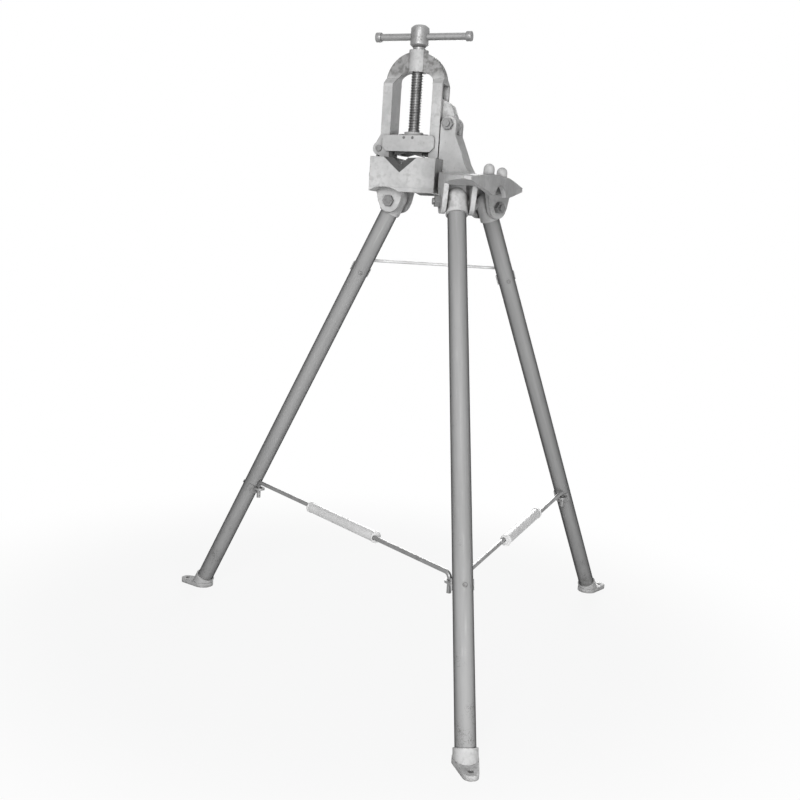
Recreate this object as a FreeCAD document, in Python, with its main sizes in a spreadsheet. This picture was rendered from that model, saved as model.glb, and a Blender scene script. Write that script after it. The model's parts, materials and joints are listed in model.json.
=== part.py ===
import FreeCAD, Part
import math
import os

import Sketcher

# Tripod pipe vise stand: a yoke vise on a three-legged head, with telescopic stays.
# The origin is on the floor, in the middle of the footprint. +Z is up, and the pipe lies along Y.
# The vise and the left leg stand towards -X, and the front and right legs towards +X.

# Driving sizes, in millimetres and degrees.
SIZES = {
    # The tripod: where the leg lines turn in the head and meet the floor
    "pivot_height": 850.0,
    "pivot_ring": 105.0,
    "foot_ring": 513.0,
    "leg_azimuth": 60.0,
    # Leg tube, a one inch pipe, and the casting that it hangs in
    "tube_dia": 33.7,
    "tube_wall": 3.2,
    "socket_dia": 40.0,
    "socket_below": 24.0,
    "socket_above": 8.0,
    "tube_top_drop": 10.0,
    "pivot_bolt_dia": 12.0,
    "running_fit": 0.05,
    "slide_gap": 0.3,
    # Leg clevises under the head
    "ear_gap": 42.0,
    "ear_thick": 9.0,
    "ear_top_width": 66.0,
    "ear_low_width": 46.0,
    "ear_low_radius": 21.0,
    "ear_round_drop": 6.0,
    # Hexagon bolts and nuts
    "pivot_hex": 19.0,
    "pivot_head_height": 7.5,
    "pivot_nut_height": 10.0,
    "bolt_tail": 4.0,
    # Shoes
    "shoe_heel_radius": 21.0,
    "shoe_heel_back": 6.0,
    "toe_ring": 548.0,
    "toe_radius": 13.0,
    "shoe_sole": 9.0,
    "shoe_collar_dia": 40.0,
    "shoe_collar_height": 25.0,
    "tube_foot_gap": 12.0,
    "floor_hole_dia": 9.0,
    # Head deck, with two pointed noses for bending pipe; heights count from the leg pivots
    "deck_top": 55.0,
    "deck_thick": 12.0,
    "skirt_bottom": 18.0,
    "skirt_wall": 9.0,
    "nose_x": 95.0,
    "nose_y": 165.0,
    "nose_tip_drop": 12.0,
    "nose_thick": 5.0,
    "nose_slope_y": 48.0,
    "pocket_reach": 118.0,
    "nose_blunt": 5.0,
    "deck_edge_x": 105.0,
    "deck_neck": 30.0,
    "deck_cheek_x": 60.0,
    "deck_cheek_y": 152.0,
    "skirt_arch_radius": 46.0,
    "skirt_arch_drop": 26.0,
    "peg_x": 92.0,
    "peg_y": 40.0,
    "peg_dia": 20.0,
    "peg_height": 19.0,
    # Vise block; x counts from the screw's axis, and heights from here on from the block's top
    "screw_offset": 75.0,
    "block_left": 60.0,
    "block_right": 70.0,
    "block_half_depth": 60.0,
    "block_rise": 24.0,
    "block_height": 63.0,
    "block_wall": 10.0,
    "block_arch_radius": 60.0,
    "block_arch_rise": 8.0,
    "notch_half_width": 33.0,
    "notch_depth": 28.0,
    # Horn that carries the yoke's hinge; it widens outwards from the hinge's line
    "hinge_gap": 2.0,
    "hinge_z": 65.0,
    "hinge_pin_dia": 12.0,
    "hinge_boss_radius": 15.0,
    "hinge_floor_drop": 18.0,
    "horn_half_depth": 21.0,
    "horn_neck_out": 15.0,
    "horn_neck_z": 46.0,
    "horn_waist_out": 26.0,
    "horn_waist_z": 21.0,
    "horn_root_out": 37.0,
    "horn_root_z": -6.0,
    "horn_foot_out": 48.0,
    # Catch for the latch, on the block's left side
    "catch_reach": 7.0,
    "catch_low_z": -29.0,
    "catch_tip_z": -17.0,
    "catch_top_z": -9.0,
    "catch_high_z": -5.0,
    "catch_half_width": 12.0,
    # Yoke
    "yoke_inner_half": 40.0,
    "yoke_outer_half": 59.0,
    "yoke_half_depth": 21.0,
    "yoke_flange": 6.0,
    "yoke_web": 8.0,
    "yoke_spring_z": 137.0,
    "yoke_crown": 37.0,
    "yoke_crown_half_depth": 10.0,
    "yoke_corner": 28.0,
    "yoke_foot_height": 52.0,
    "yoke_boss_dia": 36.0,
    "yoke_boss_rise": 3.0,
    "knuckle_radius": 14.0,
    "knuckle_half_width": 11.0,
    "knuckle_web_half": 11.0,
    "knuckle_gusset": 46.0,
    "knuckle_shoulder": 34.0,
    # Latch
    "latch_out": 2.0,
    "latch_z": 18.0,
    "latch_pin_dia": 8.0,
    "latch_half_width": 7.5,
    "latch_ear_radius": 12.5,
    "latch_ear_rise": 26.0,
    "latch_pin_head_dia": 12.0,
    "latch_pin_head": 3.0,
    "latch_eye_radius": 8.4,
    "latch_arm_in": 68.5,
    "latch_arm_out": 79.0,
    "latch_nose_x": 62.5,
    "latch_nose_z": -27.0,
    "latch_nose_depth": 5.0,
    "latch_hook_depth": 10.0,
    "latch_lip": 6.0,
    "latch_lip_height": 6.0,
    "latch_shoulder": 12.0,
    # Crosshead and jaws
    "crosshead_bottom": 17.0,
    "crosshead_height": 26.0,
    "crosshead_half_width": 52.0,
    "crosshead_cheek": 6.0,
    "crosshead_chamfer": 4.0,
    "crosshead_collar_dia": 36.0,
    "crosshead_collar_height": 7.0,
    "upper_jaw_half_width": 24.0,
    "upper_jaw_half_depth": 21.0,
    "upper_jaw_lip": 4.0,
    "upper_jaw_height": 10.0,
    "upper_jaw_rise": 6.0,
    "lower_jaw_floor": 13.0,
    "lower_jaw_end_gap": 2.0,
    "tooth_pitch": 3.6,
    "tooth_height": 1.5,
    "tooth_lean": 0.75,
    "jaw_screw_dia": 6.0,
    "jaw_screw_spread": 84.0,
    "jaw_screw_cover": 3.0,
    "jaw_screw_hex": 10.0,
    "jaw_screw_head": 4.0,
    # Screw and handle
    "screw_dia": 22.0,
    "screw_tip_dia": 16.0,
    "screw_tip_length": 22.0,
    "groove_dia": 12.0,
    "groove_width": 5.6,
    "groove_drop": 12.0,
    "retaining_pin_dia": 5.0,
    "screw_neck_dia": 24.0,
    "screw_neck_height": 4.4,
    "screw_head_dia": 35.0,
    "screw_head_height": 40.0,
    "screw_head_crown": 22.8,
    "handle_dia": 13.0,
    "handle_length": 190.0,
    "handle_shift": 7.0,
    "handle_end_dia": 18.0,
    "handle_end_length": 10.0,
    "handle_end_crown": 10.0,
    # Stays: rods with hooked ends that slide in a sleeve
    "stay_drop": 674.0,
    "stay_rod_dia": 8.0,
    "stay_side": 4.2,
    "stay_reach": 26.0,
    "stay_hook_drop": 20.0,
    "stay_bend": 11.0,
    "sleeve_length": 215.0,
    "sleeve_dia": 19.0,
    "sleeve_wall": 1.2,
    "sleeve_cap_thick": 3.0,
    "stay_overlap": 18.0,
    "eye_hole_dia": 11.2,
    "eye_slot": 5.5,
    "eye_rim": 4.0,
    "lug_thick": 4.0,
    # Saddles riveted to the tubes, which carry the lugs
    "saddle_wall": 2.5,
    "saddle_height": 18.0,
    "saddle_above": 3.0,
    "saddle_open": 2.0,
    "rivet_dia": 5.0,
    "rivet_head_dia": 8.0,
    "rivet_head": 2.5,
    "rivet_drop": 8.5,
    # Tie rod between the left and right legs
    "tie_drop": 139.0,
    "tie_dia": 6.0,
    "tie_reach": 28.0,
    "tie_bend": 7.0,
    "tie_hook_drop": 8.0,
    "tie_hole_dia": 12.5,
    "tie_rim": 3.5,
    "tie_tail": 3.0,
    "tie_stop_dia": 12.0,
    "tie_stop_length": 6.0,
}

# The three legs: name and how many leg azimuths they stand round from +X.
LEG_TURNS = {"left": 3, "front": -1, "right": 1}
AXES = {"x": "1; 0; 0", "y": "0; 1; 0", "z": "0; 0; 1"}
HEX_ROUND = math.cos(math.radians(30.0))
QUARTER_TURN = 90

# How far a cutting solid runs past a face, and how far an added one is buried in its neighbour.
CLEAR = 1
MERGE = 2

doc = FreeCAD.newDocument("TripodPipeVise")
sheet = doc.addObject("Spreadsheet::Sheet", "Sizes")
for row, (alias, number) in enumerate(SIZES.items(), start=1):
    sheet.set(f"A{row}", alias)
    sheet.set(f"B{row}", str(number))
    sheet.setAlias(f"B{row}", alias)
doc.recompute()


class Size:
    """A number together with the sheet formula that it comes from."""

    def __init__(self, value, text):
        self.value = value
        self.text = text

    def __add__(self, other):
        other = as_size(other)
        return Size(self.value + other.value, f"({self.text} + {other.text})")

    def __sub__(self, other):
        other = as_size(other)
        return Size(self.value - other.value, f"({self.text} - {other.text})")

    def __mul__(self, other):
        other = as_size(other)
        return Size(self.value * other.value, f"({self.text} * {other.text})")

    def __truediv__(self, other):
        other = as_size(other)
        return Size(self.value / other.value, f"({self.text} / {other.text})")

    def __radd__(self, other):
        return as_size(other) + self

    def __rsub__(self, other):
        return as_size(other) - self

    def __rmul__(self, other):
        return as_size(other) * self

    def __rtruediv__(self, other):
        return as_size(other) / self

    def __neg__(self):
        return Size(-self.value, f"(0 - {self.text})")


def as_size(number):
    if isinstance(number, Size):
        return number
    return Size(float(number), f"({float(number):.9g})")


def root(number):
    return Size(math.sqrt(number.value), f"sqrt({number.text})")


def sine(angle):
    angle = as_size(angle)
    return Size(math.sin(math.radians(angle.value)), f"sin({angle.text})")


def cosine(angle):
    angle = as_size(angle)
    return Size(math.cos(math.radians(angle.value)), f"cos({angle.text})")


def slope_angle(rise, run):
    ratio = rise / run
    degrees = math.degrees(math.atan(ratio.value))
    return Size(degrees, f"(atan({ratio.text}) / 1 deg)")


def size(name):
    return Size(SIZES[name], f"Sizes.{name}")


# Sizes that follow from the driving ones.
AXIS_X = size("toe_ring") / 4
VISE_X = AXIS_X - size("screw_offset")
SPLAY = slope_angle(size("foot_ring") - size("pivot_ring"), size("pivot_height"))
LEG_LENGTH = size("pivot_height") / cosine(SPLAY)
DECK_TOP = size("pivot_height") + size("deck_top")
DECK_BOTTOM = DECK_TOP - size("deck_thick")
SKIRT_BOTTOM = size("pivot_height") + size("skirt_bottom")
BLOCK_TOP = DECK_TOP + size("block_rise")
BLOCK_BOTTOM = BLOCK_TOP - size("block_height")
HINGE_Z = BLOCK_TOP + size("hinge_z")
LATCH_Z = BLOCK_TOP + size("latch_z")
YOKE_SPRING = BLOCK_TOP + size("yoke_spring_z")
YOKE_CROWN = YOKE_SPRING + size("yoke_outer_half")
YOKE_INNER_TOP = YOKE_CROWN - size("yoke_crown")
BOSS_TOP = YOKE_CROWN + size("yoke_boss_rise")
CROSSHEAD_BOTTOM = BLOCK_TOP + size("crosshead_bottom")
CROSSHEAD_TOP = CROSSHEAD_BOTTOM + size("crosshead_height")
HINGE_X = size("yoke_outer_half") + size("hinge_gap") + size("hinge_boss_radius")
LATCH_X = size("yoke_outer_half") + size("latch_out")
EAR_OUT = size("ear_gap") / 2 + size("ear_thick")
YOKE_BOTTOM = BLOCK_TOP + size("slide_gap")
SCREW_SEAT = CROSSHEAD_TOP + size("crosshead_collar_height") + size("slide_gap")
HANDLE_Z = (BOSS_TOP + size("slide_gap") + size("screw_neck_height")
            + size("screw_head_height") / 2)

# The saddles on each leg: how far down, and which way each faces, from the leg's outward side.
INWARD = 180
TIE_LEAN = size("leg_azimuth")
SADDLES = {
    "left": [(size("stay_drop"), INWARD), (size("tie_drop"), -TIE_LEAN)],
    "front": [(size("stay_drop"), INWARD)],
    "right": [(size("stay_drop"), INWARD), (size("tie_drop"), TIE_LEAN)],
}


def on_block(name):
    """A named height counted from the block's top, as a height from the floor."""
    return BLOCK_TOP + size(name)


def place(item, at, turns=()):
    """Put an object at a point, turned about the named axes, outermost turn first."""
    x, y, z = (as_size(number).text for number in at)
    parts = [f"create(<<rotation>>; create(<<vector>>; {AXES[axis]}); {as_size(angle).text})"
             for axis, angle in turns]
    rotation = " * ".join(parts) or "create(<<rotation>>; create(<<vector>>; 0; 0; 1); 0)"
    item.setExpression("Placement",
                       f"create(<<placement>>; create(<<vector>>; {x}; {y}; {z}); {rotation})")
    return item


def box(name, x, y, z):
    item = doc.addObject("Part::Box", name)
    for side, (low, high) in zip(("Length", "Width", "Height"), (x, y, z)):
        item.setExpression(side, (as_size(high) - low).text)
    return place(item, (x[0], y[0], z[0]))


TOWARDS = {"x": [("y", 90)], "y": [("x", -90)], "z": []}


def rod(name, radius, low, high, at=(0, 0), along="z", turns=()):
    """A round bar from low to high along an axis; at gives its other two coordinates."""
    item = doc.addObject("Part::Cylinder", name)
    item.setExpression("Radius", as_size(radius).text)
    item.setExpression("Height", (as_size(high) - low).text)
    start = {"x": (low, *at), "y": (at[0], low, at[1]), "z": (*at, low)}[along]
    return place(item, start, [*turns, *TOWARDS[along]])


def hexagon(name, across, low, high, at=(0, 0), along="z"):
    item = doc.addObject("Part::Prism", name)
    item.Polygon = 6
    item.setExpression("Circumradius", (as_size(across) / 2 / HEX_ROUND).text)
    item.setExpression("Height", (as_size(high) - low).text)
    start = {"x": (low, *at), "y": (at[0], low, at[1]), "z": (*at, low)}[along]
    return place(item, start, TOWARDS[along])


def ball(name, radius, at):
    item = doc.addObject("Part::Sphere", name)
    item.setExpression("Radius", as_size(radius).text)
    return place(item, at)


def outline(name, points):
    """A closed sketch. A point is (x, y), or (x, y, radius) for an arc that ends there.

    A positive radius turns left on the way to the point, and a negative one turns right.
    """
    sketch = doc.addObject("Sketcher::SketchObject", name)
    spots = [FreeCAD.Vector(as_size(p[0]).value, as_size(p[1]).value, 0) for p in points]
    bends = [as_size(p[2]) if len(p) > 2 else None for p in points]
    for index, end in enumerate(spots):
        start = spots[index - 1]
        bend = bends[index]
        if bend is None:
            sketch.addGeometry(Part.LineSegment(start, end), False)
            continue
        chord = end - start
        middle = (start + end) * 0.5
        side = FreeCAD.Vector(-chord.y, chord.x, 0)
        side.normalize()
        radius = abs(bend.value)
        rise = radius - math.sqrt(max(radius ** 2 - (chord.Length / 2) ** 2, 0.0))
        top = middle - side * math.copysign(rise, bend.value)
        sketch.addGeometry(Part.Arc(start, top, end), False)
    for index, point in enumerate(points):
        follower = (index + 1) % len(points)
        ends = (index, end_of(sketch, index, spots[index]))
        sketch.addConstraint(Sketcher.Constraint(
            "Coincident", *ends, follower, end_of(sketch, follower, spots[index])))
        for kind, number in (("DistanceX", point[0]), ("DistanceY", point[1])):
            number = as_size(number)
            mark = sketch.addConstraint(Sketcher.Constraint(kind, -1, 1, *ends, number.value))
            sketch.setExpression(f"Constraints[{mark}]", number.text)
        if bends[index] is not None:
            radius = bends[index] if bends[index].value > 0 else -bends[index]
            mark = sketch.addConstraint(Sketcher.Constraint("Radius", index, radius.value))
            sketch.setExpression(f"Constraints[{mark}]", radius.text)
    return sketch


def end_of(sketch, index, spot):
    """Which end of a line or arc, 1 or 2, lies at a spot."""
    first, second = (sketch.getPoint(index, end) for end in (1, 2))
    return 1 if (first - spot).Length < (second - spot).Length else 2


def prism(name, points, low, high, plane="xz"):
    """An outline drawn on a plane and pulled from low to high along the third axis."""
    sketch = outline(name + "_outline", points)
    if plane == "xz":
        place(sketch, (0, high, 0), [("x", 90)])
    elif plane == "xy":
        place(sketch, (0, 0, low))
    else:
        place(sketch, (low, 0, 0), [("z", 90), ("x", 90)])
    item = doc.addObject("Part::Extrusion", name)
    item.Base = sketch
    item.DirMode = "Normal"
    item.Solid = True
    item.setExpression("LengthFwd", (as_size(high) - low).text)
    return item


def fuse(name, *items):
    item = doc.addObject("Part::MultiFuse", name)
    item.Shapes = list(items)
    item.Refine = True
    return item


def cut(name, base, *tools):
    item = doc.addObject("Part::Cut", name)
    item.Base = base
    item.Tool = tools[0] if len(tools) == 1 else fuse(name + "_tools", *tools)
    item.Refine = True
    return item


def common(name, first, second):
    item = doc.addObject("Part::Common", name)
    item.Base = first
    item.Tool = second
    return item


def group(name, *items):
    item = doc.addObject("Part::Compound", name)
    item.Links = list(items)
    return item


pieces = []


def keep(node, item):
    """Register a finished sub-part under its node name."""
    item.Label = node
    pieces.append(item)
    return item


def in_vise(node, item):
    """Seat a sub-part drawn from the screw's axis, with z from the floor."""
    return keep(node, place(item, (VISE_X, 0, 0)))


def azimuth(leg):
    return size("leg_azimuth") * LEG_TURNS[leg]


def on_leg_line(leg, ring, height, turns=()):
    angle = azimuth(leg)
    spot = (AXIS_X + ring * cosine(angle), ring * sine(angle), height)
    return spot, [("z", angle), *turns]


def at_pivot(leg, turns=()):
    return on_leg_line(leg, size("pivot_ring"), size("pivot_height"), turns)


def down_leg(leg, drop, turns=()):
    """The frame on a leg's line, a way down from its pivot, with x pointing outwards."""
    ring = size("pivot_ring") + drop * sine(SPLAY)
    return on_leg_line(leg, ring, size("pivot_height") - drop * cosine(SPLAY), turns)


# Head -----------------------------------------------------------------------------------------

def ear_corner(along):
    """A corner of the right leg's ear on the block's side, seen from above."""
    ring = size("pivot_ring") + along
    angle = size("leg_azimuth")
    return (ring * cosine(angle) - EAR_OUT * sine(angle), ring * sine(angle) + EAR_OUT * cosine(angle))


def deck_points():
    """Half of the deck's plan, from the block to its far edge, with x from the stand's axis."""
    blunt = size("nose_blunt")
    return [(size("block_right") - size("block_wall") - size("screw_offset"), size("deck_neck")),
            (size("block_right") - size("screw_offset"), size("deck_neck")),
            ear_corner(-size("ear_top_width") / 2), ear_corner(size("ear_top_width") / 2),
            (size("deck_cheek_x"), size("deck_cheek_y")),
            (size("nose_x") - blunt, size("nose_y") + blunt),
            (size("nose_x") + blunt, size("nose_y") - blunt),
            (size("deck_edge_x"), size("peg_y") * 2)]


def inset(points, wall):
    """A left-turning closed plan with every side moved inwards by a wall's thickness."""
    corners = [FreeCAD.Vector(as_size(x).value, as_size(y).value, 0) for x, y in points]
    moved = []
    for index, (x, y) in enumerate(points):
        before = (corners[index] - corners[index - 1]).normalize()
        after = (corners[(index + 1) % len(corners)] - corners[index]).normalize()
        mitre = FreeCAD.Vector(-before.y - after.y, before.x + after.x, 0) / (1 + before.dot(after))
        moved.append((x + wall * mitre.x, y + wall * mitre.y))
    return moved


def mirrored(points):
    """A closed plan from one half, mirrored across the middle plane."""
    return [(x, -y) for x, y in points] + [(x, y) for x, y in reversed(points)]


def build_clevis(leg):
    """The pair of ears that a leg's socket turns between, down from the deck."""
    wide = size("ear_top_width") / 2
    low = size("ear_low_width") / 2
    lift = DECK_BOTTOM - size("pivot_height") + MERGE
    round_z = size("ear_round_drop")
    low_x = root(size("ear_low_radius") * size("ear_low_radius") - round_z * round_z)
    points = [(wide, lift), (-wide, lift), (-low, 0), (-low_x, -round_z),
              (low_x, -round_z, size("ear_low_radius")), (low, 0)]
    ears = []
    for side, inner, outer in (("a", size("ear_gap") / 2, EAR_OUT),
                               ("b", -EAR_OUT, -size("ear_gap") / 2)):
        ears.append(prism(f"{leg}_ear_{side}", points, inner, outer))
    pair = fuse(f"{leg}_ears", *ears)
    bore = rod(f"{leg}_ear_bore", size("pivot_bolt_dia") / 2, -EAR_OUT - CLEAR, EAR_OUT + CLEAR, along="y")
    drilled = cut(f"{leg}_clevis", pair, bore)
    return place(drilled, *at_pivot(leg))


def build_deck():
    plan = mirrored(deck_points())
    slab = prism("deck_slab", plan, SKIRT_BOTTOM, DECK_TOP, "xy")
    inside = prism("deck_inside", inset(plan, size("skirt_wall")), SKIRT_BOTTOM - CLEAR, DECK_BOTTOM,
                   "xy")
    middle = box("deck_middle", (-size("screw_offset") - size("block_right"), size("deck_edge_x")),
                 (-size("pocket_reach"), size("pocket_reach")), (SKIRT_BOTTOM - MERGE, DECK_TOP))
    pocket = common("deck_pocket", inside, middle)
    # Above and below, the deck slopes to the thin end of each nose.
    slope_y = size("nose_slope_y")
    far_y = size("nose_y") + size("nose_blunt") * 2
    far_x = size("deck_edge_x") + size("nose_blunt") * 2
    tip_y = size("nose_y") + size("nose_blunt")
    tip_top = DECK_TOP - size("nose_tip_drop")
    tip_low = tip_top - size("nose_thick")
    under = [(slope_y, SKIRT_BOTTOM - CLEAR), (far_y, SKIRT_BOTTOM - CLEAR), (far_y, tip_low),
             (tip_y, tip_low), (slope_y, SKIRT_BOTTOM)]
    over = [(slope_y, DECK_TOP), (tip_y, tip_top), (far_y, tip_top), (far_y, DECK_TOP + CLEAR),
            (slope_y, DECK_TOP + CLEAR)]
    wedges = []
    for name, wedge in (("under", under), ("over", over)):
        wedges.append(prism(f"nose_{name}_a", wedge, 0, far_x, "yz"))
        wedges.append(prism(f"nose_{name}_b", [(-y, z) for y, z in wedge], 0, far_x, "yz"))
    arch = rod("skirt_arch", size("skirt_arch_radius"), size("deck_edge_x") - size("skirt_wall") * 2,
               size("deck_edge_x") + CLEAR, (0, SKIRT_BOTTOM - size("skirt_arch_drop")), "x")
    return cut("deck", slab, pocket, *wedges, arch)


def build_pegs():
    items = []
    for side, name in ((1, "a"), (-1, "b")):
        radius = size("peg_dia") / 2
        spot = (size("peg_x"), size("peg_y") * side)
        items.append(rod(f"peg_{name}", radius, DECK_BOTTOM, DECK_TOP + size("peg_height") - radius,
                         spot))
        items.append(ball(f"peg_top_{name}", radius,
                          (*spot, DECK_TOP + size("peg_height") - radius)))
    return items


def build_block():
    """The vise's block: a hollow box, open below, with a V notch along Y."""
    left, right = -size("block_left"), size("block_right")
    depth = size("block_half_depth")
    wall = size("block_wall")
    body = box("block_body", (left, right), (-depth, depth), (BLOCK_BOTTOM, BLOCK_TOP))
    hollow = box("block_hollow", (left + wall, right - wall), (-depth + wall, depth - wall),
                 (BLOCK_BOTTOM - CLEAR, DECK_BOTTOM))
    half = size("notch_half_width")
    over = size("notch_depth") / half
    notch = prism("block_notch", [(half + MERGE, BLOCK_TOP + over * MERGE),
                                  (-half - MERGE, BLOCK_TOP + over * MERGE),
                                  (0, BLOCK_TOP - size("notch_depth"))],
                  -depth - CLEAR, depth + CLEAR)
    arch = rod("block_arch", size("block_arch_radius"), -depth - CLEAR, depth + CLEAR,
               (size("screw_offset") - size("pivot_ring"),
                BLOCK_BOTTOM + size("block_arch_rise") - size("block_arch_radius")), "y")
    return cut("block", body, hollow, notch, arch)


def build_horn():
    """The upright beside the yoke, forked at its top for the hinge."""
    x, z = HINGE_X, HINGE_Z
    radius = size("hinge_boss_radius")
    depth = size("horn_half_depth")
    points = [(x - radius, DECK_BOTTOM), (x + size("horn_foot_out"), DECK_BOTTOM),
              (x + size("horn_foot_out"), DECK_TOP), (x + size("horn_root_out"), on_block("horn_root_z")),
              (x + size("horn_waist_out"), on_block("horn_waist_z")),
              (x + size("horn_neck_out"), on_block("horn_neck_z")),
              (x + radius, z), (x, z + radius, radius), (x - radius, z, radius)]
    body = prism("horn_body", points, -depth, depth)
    gap = size("knuckle_half_width") + size("slide_gap")
    fork = box("horn_fork", (x - radius * 2, x + radius * 2), (-gap, gap),
               (z - size("hinge_floor_drop"), z + radius * 2))
    bore = rod("horn_bore", size("hinge_pin_dia") / 2, -depth - CLEAR, depth + CLEAR, (x, z), "y")
    return cut("horn", body, fork, bore)


def build_catch():
    left = -size("block_left")
    tip = left - size("catch_reach")
    width = size("catch_half_width")
    return prism("catch", [(left + MERGE, on_block("catch_low_z")), (left, on_block("catch_low_z")),
                           (tip, on_block("catch_tip_z")), (tip, on_block("catch_top_z")),
                           (left, on_block("catch_high_z")), (left + MERGE, on_block("catch_high_z"))],
                 -width, width)


def jaw_screw_spots():
    """Where the lower jaw's two screws stand along the pipe."""
    return (-size("jaw_screw_spread") / 2, size("jaw_screw_spread") / 2)


def build_head():
    vise_side = fuse("vise_side", build_block(), build_horn(), build_catch())
    place(vise_side, (VISE_X, 0, 0))
    stand_side = fuse("stand_side", build_deck(), *build_pegs())
    place(stand_side, (AXIS_X, 0, 0))
    clevises = [build_clevis(leg) for leg in LEG_TURNS]
    whole = fuse("head_whole", vise_side, stand_side, *clevises)
    holes = [rod(f"jaw_screw_hole_{index}", size("jaw_screw_dia") / 2, DECK_BOTTOM - CLEAR,
                 BLOCK_TOP, (VISE_X, spot)) for index, spot in enumerate(jaw_screw_spots())]
    keep("head_casting", cut("head_drilled", whole, *holes))


def build_lower_jaw():
    """The toothed V that lies in the block's notch."""
    half, top = size("notch_half_width"), BLOCK_TOP
    drop = size("notch_depth")
    tilt = slope_angle(drop, half)
    floor = top - drop + size("lower_jaw_floor")
    arm = (top - floor) / sine(tilt)
    teeth = int(arm.value / SIZES["tooth_pitch"])
    side = [(0, floor)]
    for index in range(teeth):
        peak = size("tooth_pitch") * (size("tooth_lean") + index)
        valley = size("tooth_pitch") * (index + 1)
        side.append((peak * cosine(tilt) - size("tooth_height") * sine(tilt),
                     floor + peak * sine(tilt) + size("tooth_height") * cosine(tilt)))
        side.append((valley * cosine(tilt), floor + valley * sine(tilt)))
    side.append((half, top))
    points = [(0, top - drop)] + list(reversed(side)) + [(-x, z) for x, z in side[1:]]
    depth = size("block_half_depth") - size("lower_jaw_end_gap")
    body = prism("lower_jaw_body", points, -depth, depth)
    screw_top = floor - size("jaw_screw_cover")
    holes = [rod(f"lower_jaw_hole_{index}", size("jaw_screw_dia") / 2, top - drop - CLEAR,
                 screw_top, (0, spot)) for index, spot in enumerate(jaw_screw_spots())]
    in_vise("lower_jaw", cut("lower_jaw_drilled", body, *holes))
    screws = []
    for index, spot in enumerate(jaw_screw_spots()):
        shank = rod(f"lower_screw_{index}", size("jaw_screw_dia") / 2, DECK_BOTTOM, screw_top, (0, spot))
        head = hexagon(f"lower_screw_head_{index}", size("jaw_screw_hex"),
                       DECK_BOTTOM - size("jaw_screw_head"), DECK_BOTTOM, (0, spot))
        screws.append(fuse(f"lower_jaw_screw_{index}", shank, head))
    in_vise("lower_jaw_screws", group("lower_screws", *screws))


def cross_bolt(name, dia, across, head_height, nut_height, half_grip, at=(0, 0), tail=None):
    """A hexagon bolt along y, with its head on the +y side, and its nut."""
    tail = tail or size("bolt_tail")
    shank = rod(name + "_shank", dia / 2, -half_grip - nut_height - tail, half_grip, at, "y")
    head = hexagon(name + "_head", across, half_grip, half_grip + head_height, at, "y")
    bolt = fuse(name + "_bolt", shank, head)
    blank = hexagon(name + "_blank", across, -half_grip - nut_height, -half_grip, at, "y")
    thread = rod(name + "_thread", dia / 2, -half_grip - nut_height - CLEAR, -half_grip + CLEAR, at, "y")
    return bolt, cut(name + "_nut", blank, thread)


def build_hinge_pin():
    bolt, nut = cross_bolt("hinge", size("hinge_pin_dia"), size("pivot_hex"), size("pivot_head_height"),
                           size("pivot_nut_height"), size("horn_half_depth"),
                           (HINGE_X, HINGE_Z))
    in_vise("yoke_hinge_pin", bolt)
    in_vise("yoke_hinge_nut", nut)


# Yoke, latch, jaw and screw -------------------------------------------------------------------

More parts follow.
